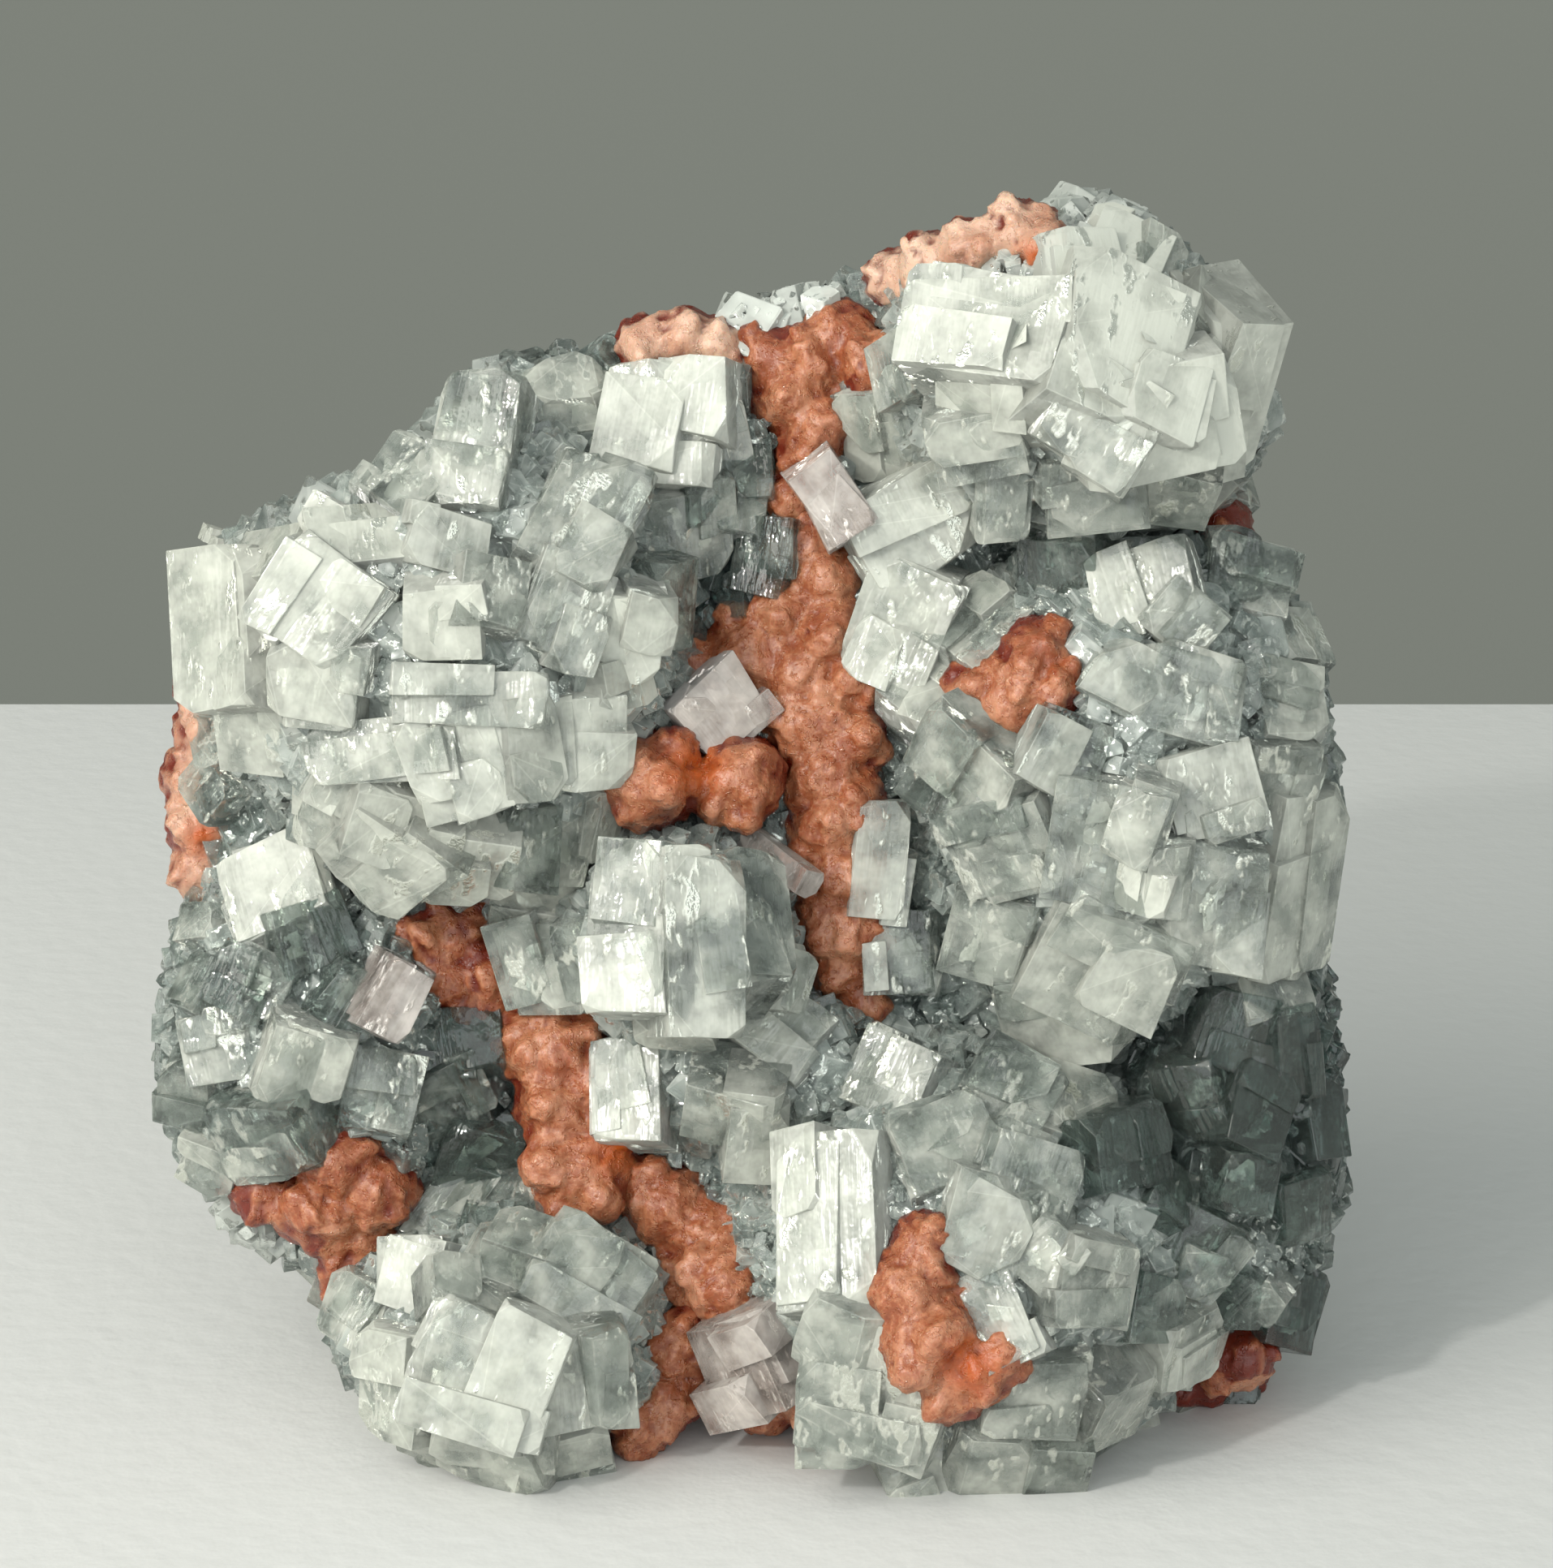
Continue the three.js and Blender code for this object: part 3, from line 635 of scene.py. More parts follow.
@dataclass(frozen=True)
class ApophylliteFinish:
    """Glassy apophyllite of a main block: milky veils, straight striations, frosted edges that are partly a
    painted edge highlight, and clear glass tinted dark teal as painted shade where the crystal is least
    milky.
    """

    name: str = "apophyllite"
    slot: str = "apophyllite"
    glass: Colour = (0.94, 0.975, 0.95, 1)
    # The next colour tints the clear glass of the least milky crystals: painted shade, darkest on the right
    # flank.
    deep: Colour = (0.50, 0.64, 0.61, 1)
    milk: Colour = (0.61, 0.685, 0.61, 1)
    pale: Colour = (0.83, 0.85, 0.75, 1)
    absorption: Colour = (0.74, 0.86, 0.82, 1)
    density: float = 0.0
    mosaic: float = 0.4
    shine: float = 0.8
    relief: float = 0.4

    def material(self) -> bpy.types.Material:
        """Builds the finish.

        Returns:
            The material, which reads the crystal, milk, frost and silver attributes.
        """
        made = Surface(self.name)
        bench = made.bench
        place = made.attribute("crystal", "Vector")
        broad = place.noise(0.22, 1.0)
        veils = place.noise(0.7, 2.0, 0.65)
        striae = place.stretched(2.2, 0.5, 0.25).noise(1.0, 1.0)
        grain = place.noise(3.4, 1.0, 0.7)
        frost = made.attribute("frost")
        silver = made.attribute("silver")
        milk = made.attribute("milk")
        haze = milk * 0.66 + (broad - 0.5) * 1.2 + (veils - 0.5) * 0.6
        glints = place.stretched(0.7, 1.0, 0.35).noise(0.5, 3.0, 0.75)
        sparkle = glints.ramp(0.58, 0.66) * milk.ramp(-0.4, 0.6)
        silver = (silver * (veils - 0.2) * 2.0 + sparkle).clamped()
        # Chamfers turn a little milkier and paler: partly frosted edges, partly a painted edge highlight.
        share = (haze + frost * 0.1 + silver).clamped()
        normal = made.bump(striae * 0.5 + broad + veils * 0.5 + sparkle * grain * 3.0, 0.7, 0.35)
        normal = made.turned(normal, place.stretched(1.0, 1.0, 0.45).facets(0.5), self.mosaic)
        # The clear glass turns towards that dark teal as the milk falls: painted shade.
        glass = {
            "Base Color": bench.blend(milk.ramp(-0.3, 0.5), self.deep, self.glass),
            "Roughness": 0.02 + grain * 0.06,
            "Normal": normal,
        }
        milky = {
            "Base Color": bench.blend(share.ramp(0.05, 0.6), self.milk, self.pale),
            "Roughness": 0.08 + grain * 0.2,
            "Metallic": silver * self.shine,
            "Normal": made.turned(made.attribute("outwards", "Vector"), normal, self.relief),
        }
        mixed = made.crystal(0.05 + share * 0.65, glass, milky)
        if self.density == 0:
            return made.finish(mixed)
        absorbing = {"Color": self.absorption, "Density": self.density}
        volume = bench.node("ShaderNodeVolumeAbsorption", {}, absorbing)
        return made.finish(mixed, volume.outputs[0])


PINKISH_CRYSTAL = ApophylliteFinish(
    name="apophyllite_pinkish",
    glass=(0.97, 0.94, 0.92, 1),
    deep=(0.90, 0.82, 0.78, 1),
    milk=(0.82, 0.68, 0.60, 1),
    pale=(0.90, 0.82, 0.75, 1),
    absorption=(0.85, 0.74, 0.70, 1),
    density=30.0,
)


@dataclass(frozen=True)
class GrainFinish:
    """Glassy apophyllite of the small crystals, each with its own share of milk."""

    name: str = "apophyllite_grains"
    slot: str = "apophyllite"
    glass: Colour = (0.93, 0.97, 0.94, 1)
    # The next colour tints the clear glass of the least cloudy grains: painted shade.
    deep: Colour = (0.46, 0.60, 0.57, 1)
    milk: Colour = (0.56, 0.66, 0.61, 1)
    pale: Colour = (0.86, 0.90, 0.83, 1)
    shine: float = 0.8
    relief: float = 0.45

    def material(self) -> bpy.types.Material:
        """Returns the material, which reads the crystal, shift, cloud and frost attributes."""
        made = Surface(self.name)
        bench = made.bench
        inputs = {0: made.attribute("crystal", "Vector"), 1: made.attribute("shift", "Vector")}
        place = bench.value("ShaderNodeVectorMath", {"operation": "ADD"}, inputs)
        clouds = place.noise(0.5, 1.0)
        cloud = made.attribute("cloud")
        # Chamfers turn a little milkier and paler: partly frosted edges, partly a painted edge highlight.
        share = (cloud * 0.55 + (clouds - 0.5) * 0.9 + made.attribute("frost") * 0.1).clamped()
        sparkle = place.noise(0.9, 1.0).ramp(0.60, 0.66) * cloud.ramp(-0.3, 0.6)
        plain = made.bump(clouds + sparkle * place.noise(3.4, 1.0) * 3.0, 0.7, 0.3)
        share = (share + sparkle).clamped()
        # Grains turn towards that dark teal as their cloud falls, most in the valleys and on the right flank:
        # painted shade.
        glass = {
            "Base Color": bench.blend(cloud.ramp(-0.2, 0.6), self.deep, self.glass),
            "Roughness": 0.03,
            "Normal": plain,
        }
        milky = {
            "Base Color": bench.blend(share.ramp(0.1, 0.9), self.milk, self.pale),
            "Roughness": 0.2,
            "Metallic": sparkle * self.shine,
            "Normal": made.turned(made.attribute("growth", "Vector"), plain, self.relief),
        }
        return made.finish(made.crystal(0.05 + share * 0.6, glass, milky))


@dataclass(frozen=True)
class BedFinish:
    """The crust's bed between the blocks: dark teal in the valleys, partly the matrix's own colour and partly
    painted shade, and milky on the mounds.
    """

    name: str = "apophyllite_bed"
    slot: str = "apophyllite"
    # The next colour is partly the matrix's own dark teal and partly painted shade for the valleys.
    dark: Colour = (0.04, 0.06, 0.06, 1)
    light: Colour = (0.66, 0.71, 0.66, 1)

    def material(self) -> bpy.types.Material:
        """Builds the finish and returns the material, which reads the haze attribute."""
        made = Surface(self.name)
        place = made.millimetres()
        patches = place.noise(0.3, 3.0, 0.6)
        grain = place.noise(1.6, 2.0, 0.7)
        # The bed darkens where the crystals above are least milky, mostly in the valleys: painted shade.
        share = made.attribute("haze") * 1.2 + (patches - 0.5) * 1.6
        tone = made.bench.blend(share.clamped(), self.dark, self.light)
        normal = made.bump(place.cells(0.9) + grain * 0.6, 0.7, 0.5)
        shader = made.principled({"Base Color": tone, "Roughness": 0.15 + grain * 0.3, "Normal": normal})
        return made.finish(shader)


@dataclass(frozen=True)
class StilbiteFinish:
    """Waxy salmon stilbite: ridges and lump tops lightened as a painted highlight, deep orange cores,
    crevices darkened to dark red as painted shade, and tiny wet glints.
    """

    name: str = "stilbite"
    slot: str = "stilbite"
    salmon: Colour = (0.31, 0.082, 0.03, 1)
    light: Colour = (0.46, 0.178, 0.083, 1)
    # The next colour is a painted highlight, laid on the lumps' tops.
    painted_highlight: Colour = (0.62, 0.30, 0.18, 1)
    peach: Colour = (0.78, 0.54, 0.40, 1)
    orange: Colour = (0.52, 0.10, 0.010, 1)
    # The next colour is painted shade, laid in the crevices.
    crevice_shade: Colour = (0.16, 0.015, 0.004, 1)
    lamellae: float = 9.0

    def material(self) -> bpy.types.Material:
        """Builds the finish.

        Returns:
            The material, which reads the fan, core, depth and pale attributes.
        """
        made = Surface(self.name)
        bench = made.bench
        place = made.millimetres()
        fan = bench.node("ShaderNodeSeparateXYZ", {}, {0: made.attribute("fan", "Vector")})
        sides = {0: fan.outputs[2], 1: fan.outputs[0]}
        angle = bench.value("ShaderNodeMath", {"operation": "ARCTAN2"}, sides)
        soft = place.noise(0.28, 3.0, 0.6)
        spread = bench.value("ShaderNodeCombineXYZ", {}, {0: angle * self.lamellae, 1: soft, 2: 0.0})
        lines = spread.noise(1.0, 3.0, 0.6)
        grain = place.noise(2.2, 3.0, 0.7)
        tone = bench.blend((soft * 0.4 + grain * 0.4 + lines * 0.2).ramp(0.43, 0.60), self.salmon, self.light)
        depth = made.attribute("depth")
        # Lump tops lean towards the painted highlight colour, less so in the crevices: a painted highlight.
        highlight_share = ((soft + grain) * 0.5 - depth * 0.8).ramp(0.45, 1.1) * 0.6
        tone = bench.blend(highlight_share, tone, self.painted_highlight)
        tone = bench.blend(made.attribute("pale") + grain * 0.2 - 0.1, tone, self.peach)
        tone = bench.blend(made.attribute("core") * (0.5 + soft), tone, self.orange)
        # Deep points and their surroundings darken to the crevice colour: painted shade.
        tone = bench.blend((depth + (soft - 0.5) * 0.6).ramp(0.02, 0.56), tone, self.crevice_shade)
        wet = place.noise(1.3, 2.0, 0.6).ramp(0.56, 0.62)
        normal = made.bump(lines * 0.3 + grain * 0.5 + wet * place.noise(3.0, 1.0) * 1.2, 0.55, 0.35)
        shader = made.principled({
            "Base Color": tone, "Roughness": 0.32 - wet * 0.28, "IOR": 1.5, "Specular IOR Level": 0.6,
            "Subsurface Weight": 0.5, "Subsurface Radius": (1.0, 0.38, 0.22), "Subsurface Scale": 0.9 * MM,
            "Normal": normal,
        })
        return made.finish(shader)


@dataclass(frozen=True)
class BasaltFinish:
    """Rough dark basalt with green celadonite films and white specks."""

    name: str = "basalt"
    slot: str = "basalt"
    rock: Colour = (0.042, 0.050, 0.048, 1)
    celadonite: Colour = (0.075, 0.135, 0.12, 1)
    speck: Colour = (0.55, 0.58, 0.55, 1)

    def material(self) -> bpy.types.Material:
        """Builds the finish and returns the material."""
        made = Surface(self.name)
        bench = made.bench
        place = made.millimetres()
        broad = place.noise(0.07, 4.0, 0.6)
        fine = place.noise(1.1, 4.0, 0.7)
        pits = place.cells(0.55)
        tone = bench.blend((broad * 0.8 + fine * 0.2).ramp(0.46, 0.62), self.rock, self.celadonite)
        tone = bench.blend((fine * 0.6 + place.noise(0.9, 3.0, 0.7) * 0.4).ramp(0.60, 0.68), tone, self.speck)
        normal = made.bump(fine * 0.8 + pits * 0.4 + place.noise(4.0, 2.0) * 0.3, 0.9, 0.8)
        shader = made.principled({"Base Color": tone, "Roughness": 0.7 + fine * 0.3, "Normal": normal})
        return made.finish(shader)


@dataclass(frozen=True)
class PlainFinish:
    """A plain surface for the floor and wall, with a faint grain."""

    name: str
    colour: Colour
    roughness: float = 0.85

    def material(self) -> bpy.types.Material:
        """Builds the finish and returns the material."""
        made = Surface(self.name)
        normal = made.bump(made.millimetres().noise(0.35, 3.0), 0.35, 0.4)
        shader = made.principled({"Base Color": self.colour, "Roughness": self.roughness, "Normal": normal})
        return made.finish(shader)


# ---------------------------------------------------------------- meshes


class Domain(Enum):
    """Where a mesh attribute lives."""

    POINT = "POINT"
    FACE = "FACE"


def new_object(name: str, mesh: bpy.types.Mesh) -> bpy.types.Object:
    """Puts a mesh into the scene as an object at the origin.

    Args:
        name: The object's name.
        mesh: Its mesh.

    Returns:
        The object.
    """
    made = bpy.data.objects.new(name, mesh)
    bpy.context.scene.collection.objects.link(made)
    return made


def write_attribute(
    mesh: bpy.types.Mesh, name: str, domain: Domain, values: Sequence[float] | Sequence[Vector]
) -> None:
    """Stores one number or vector for each point or face.

    Args:
        mesh: The mesh that gets the attribute.
        name: The attribute's name.
        domain: Points or faces.
        values: One entry each.
    """
    vectors = isinstance(values[0], Vector)
    layer = mesh.attributes.new(name, "FLOAT_VECTOR" if vectors else "FLOAT", domain.value)
    flat = [part for entry in values for part in entry] if vectors else list(values)
    layer.data.foreach_set("vector" if vectors else "value", flat)


def evaluated_mesh(item: bpy.types.Object) -> bpy.types.Mesh:
    """Returns a plain copy of an object's mesh with its modifiers applied."""
    graph = bpy.context.evaluated_depsgraph_get()
    return bpy.data.meshes.new_from_object(item.evaluated_get(graph))


def moved_points(mesh: bpy.types.Mesh, move: Callable[[Vector, Vector], Vector]) -> None:
    """Moves every point of a mesh.

    Args:
        mesh: The mesh.
        move: Gives a point's new place from its place and its normal.
    """
    spots = [(vertex.co.copy(), vertex.normal.copy()) for vertex in mesh.vertices]
    flat = [part for spot, normal in spots for part in move(spot, normal)]
    mesh.vertices.foreach_set("co", flat)
    mesh.update()


def remeshed(mesh: bpy.types.Mesh, voxel: float) -> bpy.types.Mesh:
    """Joins overlapping closed shells into one even skin.

    Args:
        mesh: The shells.
        voxel: The skin's grid, in the mesh's own unit.

    Returns:
        The new mesh.
    """
    holder = new_object("remesh_holder", mesh)
    modifier = holder.modifiers.new("skin", "REMESH")
    modifier.mode = "VOXEL"
    modifier.voxel_size = voxel
    made = evaluated_mesh(holder)
    bpy.data.objects.remove(holder)
    return made


class MeshBatch:
    """Gathers many small closed shells into one mesh, with the attributes that the crystal finish reads."""

    def __init__(self) -> None:
        """Starts empty."""
        self.points: list[Vector] = []
        self.faces: list[list[int]] = []
        self.frost: list[float] = []
        self.notes: dict[str, list[Any]] = {name: [] for name in ("crystal", "milk", "silver", "outwards")}

    def add(
        self, part: bmesh.types.BMesh, place: Matrix, offset: Vector, milk: float, silver: float = 0.0
    ) -> None:
        """Adds one shell.

        Args:
            part: The shell, in its own frame, with a "frost" face layer.
            place: Takes it to the mesh's frame.
            offset: Added to the shell's own coordinates, so that no two patterns are alike.
            milk: How milky it is.
            silver: How far it shines like a crack inside a crystal.
        """
        frost = part.faces.layers.float["frost"]
        start = len(self.points)
        outwards = (place.to_3x3() @ OUTWARDS).normalized()
        part.verts.index_update()
        for vertex in part.verts:
            self.points.append(place @ vertex.co)
            for name, entry in zip(self.notes, (vertex.co + offset, milk, silver, outwards)):
                self.notes[name].append(entry)
        for face in part.faces:
            self.faces.append([start + vertex.index for vertex in face.verts])
            self.frost.append(face[frost])

    def mesh(self, name: str) -> bpy.types.Mesh:
        """Returns the gathered mesh."""
        made = bpy.data.meshes.new(name)
        made.from_pydata(self.points, [], self.faces)
        for label, entries in self.notes.items():
            write_attribute(made, label, Domain.POINT, entries)
        write_attribute(made, "frost", Domain.FACE, self.frost)
        return made


# ---------------------------------------------------------------- apophyllite


@dataclass(frozen=True)
class Block:
    """One row of the block tables."""

    x: float
    z: float
    width: float
    height: float
    turn: float
    proud: float = 1.0
    nod: float = 0.0
    swing: float = 0.0
    least_buried: float = 4.0

    @property
    def depth(self) -> float:
        """How far the block reaches back from its front face."""
        return max((self.width + self.height) / 2, self.proud + self.least_buried)

    def place(self) -> Matrix:
        """Returns the matrix that stands the block on the mounds, facing out."""
        facing = OUTWARDS.rotation_difference(RELIEF.normal(self.x, self.z)).to_matrix().to_4x4()
        spin = (
            Matrix.Rotation(math.radians(self.turn), 4, "Y")
            @ Matrix.Rotation(math.radians(self.nod), 4, "X")
            @ Matrix.Rotation(math.radians(self.swing), 4, "Z")
        )
        out = RELIEF.height(self.x, self.z) + self.proud
        return Matrix.Translation((self.x, -out, self.z)) @ facing @ spin


@dataclass
class CrystalCutter:
    """Cuts crystals: each is a few nearly parallel slabs with cut corners and chamfered edges.

    Names that end in "from" are the smaller side, in millimetres, from which a thing is done. Leans are in
    degrees and the chamfer in millimetres; the rest are chances, or shares of a crystal's own size.
    """

    seed: int = 3
    corner_chance: float = 0.5
    corner_cut: tuple[float, float] = (0.1, 0.4)
    cleave_chance: float = 0.55
    cleave_reach: tuple[float, float] = (0.08, 0.22)
    taper: tuple[float, float] = (0.88, 1.0)
    swell: float = 1.1
    jitter: float = 0.07
    chamfer: tuple[float, float] = (0.04, 0.09)
    lean: float = 9.0
    small_lean: float = 24.0
    steady_from: float = 7.5
    slabs_from: tuple[float, ...] = (3.5, 5.5, 7.5, 9.5)
    slab_lean: float = 4.0
    slab_part: tuple[float, float] = (0.35, 0.8)
    slab_full: tuple[float, float] = (0.9, 1.04)
    wide_chance: float = 0.35
    tall_chance: float = 0.4
    step_along: tuple[float, float] = (-0.06, 0.1)
    step_out: tuple[float, float] = (-0.14, 0.1)
    slab_depth: tuple[float, float] = (0.75, 1.0)
    shards: int = 5
    shards_from: float = 5.0
    shard_points: int = 8
    shard_reach: tuple[float, float] = (0.2, 0.36)
    shard_spread: float = 0.44
    shard_thickness: float = 0.1
    shard_turn: float = 0.7
    silver_chance: float = 0.5
    shade: tuple[float, float] = (-0.3, 0.2)
    slab_shade: float = 0.25
    pattern_reach: float = 400.0
    rng: random.Random = field(init=False)

    def __post_init__(self) -> None:
        """Seeds the cutter."""
        self.rng = random.Random(self.seed)

    def slab(self, width: float, height: float, depth: float, chamfer: float) -> bmesh.types.BMesh:
        """Makes one slab, its front face centred on the origin and facing -Y.

        Args:
            width: Size along X.
            height: Size along Z.
            depth: Size along Y.
            chamfer: Width of the cut along its edges.

        Returns:
            The closed slab, with its chamfers marked in the "frost" layer.
        """
        rng = self.rng
        part = bmesh.new()
        least = min(width, height, depth)
        narrow = rng.uniform(*self.taper)
        for sx in (-1, 1):
            for sz in (-1, 1):
                for back in (0, 1):
                    size = 1.0 if back else narrow
                    corner = Vector((sx * width * size / 2, back * depth, sz * height * size / 2))
                    corner += Vector([rng.uniform(-self.jitter, self.jitter) * least for _ in range(3)])
                    if back or rng.random() > self.corner_chance:
                        part.verts.new(corner)
                        continue
                    cuts = [least * rng.uniform(*self.corner_cut) for _ in range(3)]
                    part.verts.new(corner - Vector((sx * cuts[0], 0, 0)))
                    part.verts.new(corner + Vector((0, cuts[1], 0)))
                    part.verts.new(corner - Vector((0, 0, sz * cuts[2])))
        bmesh.ops.convex_hull(part, input=part.verts)
        bmesh.ops.dissolve_limit(part, angle_limit=0.1, verts=part.verts, edges=part.edges)
        bmesh.ops.recalc_face_normals(part, faces=part.faces)
        if rng.random() < self.cleave_chance:
            side = Vector((rng.choice((-1, 1)), -rng.uniform(0.5, 1.5), rng.choice((-1, 0, 1)))).normalized()
            far = max(side.dot(vertex.co) for vertex in part.verts)
            self.cleave(part, side * (far - least * rng.uniform(*self.cleave_reach)), side)
        # The chamfers are marked, and the finish pales them, partly as frost and partly as a painted edge
        # highlight.
        frost = part.faces.layers.float.new("frost")
        if chamfer > 0:
            made = bmesh.ops.bevel(
                part,
                geom=part.edges[:],
                offset=chamfer,
                segments=1,
                profile=0.5,
                affect="EDGES",
                clamp_overlap=True,
            )
            for face in made["faces"]:
                face[frost] = 1.0
        return part

    def slab_places(self, width: float, height: float, count: int) -> list[tuple[Matrix, float, float]]:
        """Lays out a crystal's slabs: the whole block first, then smaller ones that step out along its edges.

        Args:
            width: The crystal's width.
            height: The crystal's height.
            count: How many slabs.

        Returns:
            A matrix, a width and a height for each slab.
        """
        rng = self.rng
        places = [(Matrix.Identity(4), width, height)]
        least = min(width, height)
        for _ in range(count - 1):
            wide, tall = width * rng.uniform(*self.slab_part), height * rng.uniform(*self.slab_part)
            if rng.random() < self.wide_chance:
                wide = width * rng.uniform(*self.slab_full)
            elif rng.random() < self.tall_chance:
                tall = height * rng.uniform(*self.slab_full)
            x = rng.choice((-1, 1)) * ((width - wide) / 2 + least * rng.uniform(*self.step_along))
            z = rng.choice((-1, 1)) * ((height - tall) / 2 + least * rng.uniform(*self.step_along))
            out = least * rng.uniform(*self.step_out)
            tilt = Euler([math.radians(rng.gauss(0, self.slab_lean)) for _ in range(3)]).to_matrix().to_4x4()
            places.append((Matrix.Translation((x, out, z)) @ tilt, wide, tall))
        return places

    @staticmethod
    def cleave(part: bmesh.types.BMesh, spot: Vector, side: Vector) -> None:
        """Cuts a slab with a plane and closes the cut.

        Args:
            part: The slab.
            spot: A point of the plane.
            side: The plane's normal, towards what is cut off.
        """
        geometry = part.verts[:] + part.edges[:] + part.faces[:]
        made = bmesh.ops.bisect_plane(part, geom=geometry, plane_co=spot, plane_no=side, clear_outer=True)
        rim = [item for item in made["geom_cut"] if isinstance(item, bmesh.types.BMEdge)]
        if len(rim) > 2:
            bmesh.ops.edgeloop_fill(part, edges=rim)
            bmesh.ops.recalc_face_normals(part, faces=part.faces)

    def cut_at_floor(self, part: bmesh.types.BMesh, place: Matrix) -> None:
        """Cuts a slab flat where it would pass below the surface that the specimen rests on.

        Args:
            part: The slab, in its own frame.
            place: Takes the slab to metres in the specimen's frame.
        """
        if min((place @ vertex.co).z for vertex in part.verts) < 0:
            back = place.inverted()
            self.cleave(part, back @ Vector((0, 0, 0)), (back.to_3x3() @ Vector((0, 0, -1))).normalized())

    def shard(self, width: float, height: float, depth: float) -> bmesh.types.BMesh:
        """Makes a flat splinter, as a veil inside a block.

        Args:
            width: The block's width.
            height: The block's height.
            depth: The block's depth.

        Returns:
            The closed splinter, in the block's frame.
        """
        rng = self.rng
        reach = min(width, height) * rng.uniform(*self.shard_reach)
        middle = Vector((
            rng.uniform(-1, 1) * (self.shard_spread * width - reach),
            rng.uniform(0.35 * reach, 0.5 * depth),
            rng.uniform(-1, 1) * (self.shard_spread * height - reach),
        ))
        turn = Euler([rng.uniform(-self.shard_turn, self.shard_turn) for _ in range(3)])
        thin = self.shard_thickness
        part = bmesh.new()
        for _ in range(self.shard_points):
            spot = Vector((
                rng.uniform(-1, 1) * reach,
                rng.uniform(-thin, thin) * reach,
                rng.uniform(-1, 1) * reach,
            ))
            spot.rotate(turn)
            part.verts.new(middle + spot)
        bmesh.ops.convex_hull(part, input=part.verts)
        inner = [vertex for vertex in part.verts if not vertex.link_faces]
        bmesh.ops.delete(part, geom=inner, context="VERTS")
        bmesh.ops.recalc_face_normals(part, faces=part.faces)
        part.faces.layers.float.new("frost")
        return part

    def pattern_offset(self) -> Vector:
        """Draws the offset that sets one crystal's pattern apart from the others."""
        return Vector([self.rng.uniform(-self.pattern_reach, self.pattern_reach) for _ in range(3)])

    def add_crystal(self, batch: MeshBatch, block: Block, milk: float) -> None:
        """Adds a whole crystal to a batch, in metres in the specimen's frame.

        Args:
            batch: Where it goes.
            block: Its size and place.
            milk: How milky it is.
        """
        rng = self.rng
        smaller = min(block.width, block.height)
        count = 1 + sum(smaller > least for least in self.slabs_from)
        stand = PLATE.matrix() @ block.place()
        if block.nod == 0 and block.swing == 0:
            lean = math.radians(self.lean if smaller > self.steady_from else self.small_lean)
            stand @= Euler((rng.uniform(-lean, lean), 0, rng.uniform(-lean, lean))).to_matrix().to_4x4()
        offset = self.pattern_offset()
        milk_here = milk + rng.uniform(*self.shade)
        wide_block, tall_block = block.width * self.swell, block.height * self.swell
        for place, width, height in self.slab_places(wide_block, tall_block, count):
            depth = block.depth * rng.uniform(*self.slab_depth)
            part = self.slab(width, height, depth, rng.uniform(*self.chamfer))
            self.cut_at_floor(part, stand @ place)
            if part.faces:
                slid = offset + Vector((rng.uniform(-9, 9), 0, 0))
                shade = rng.uniform(-self.slab_shade, self.slab_shade)
                batch.add(part, stand @ place, slid, milk_here + shade)
            part.free()
        for _ in range(self.shards if smaller > self.shards_from else 0):
            part = self.shard(block.width, block.height, block.depth)
            if min((stand @ vertex.co).z for vertex in part.verts) > 0:
                silver = rng.random() < self.silver_chance
                batch.add(part, stand, offset, milk + rng.uniform(-0.2, 0.6) * (not silver), float(silver))
            part.free()


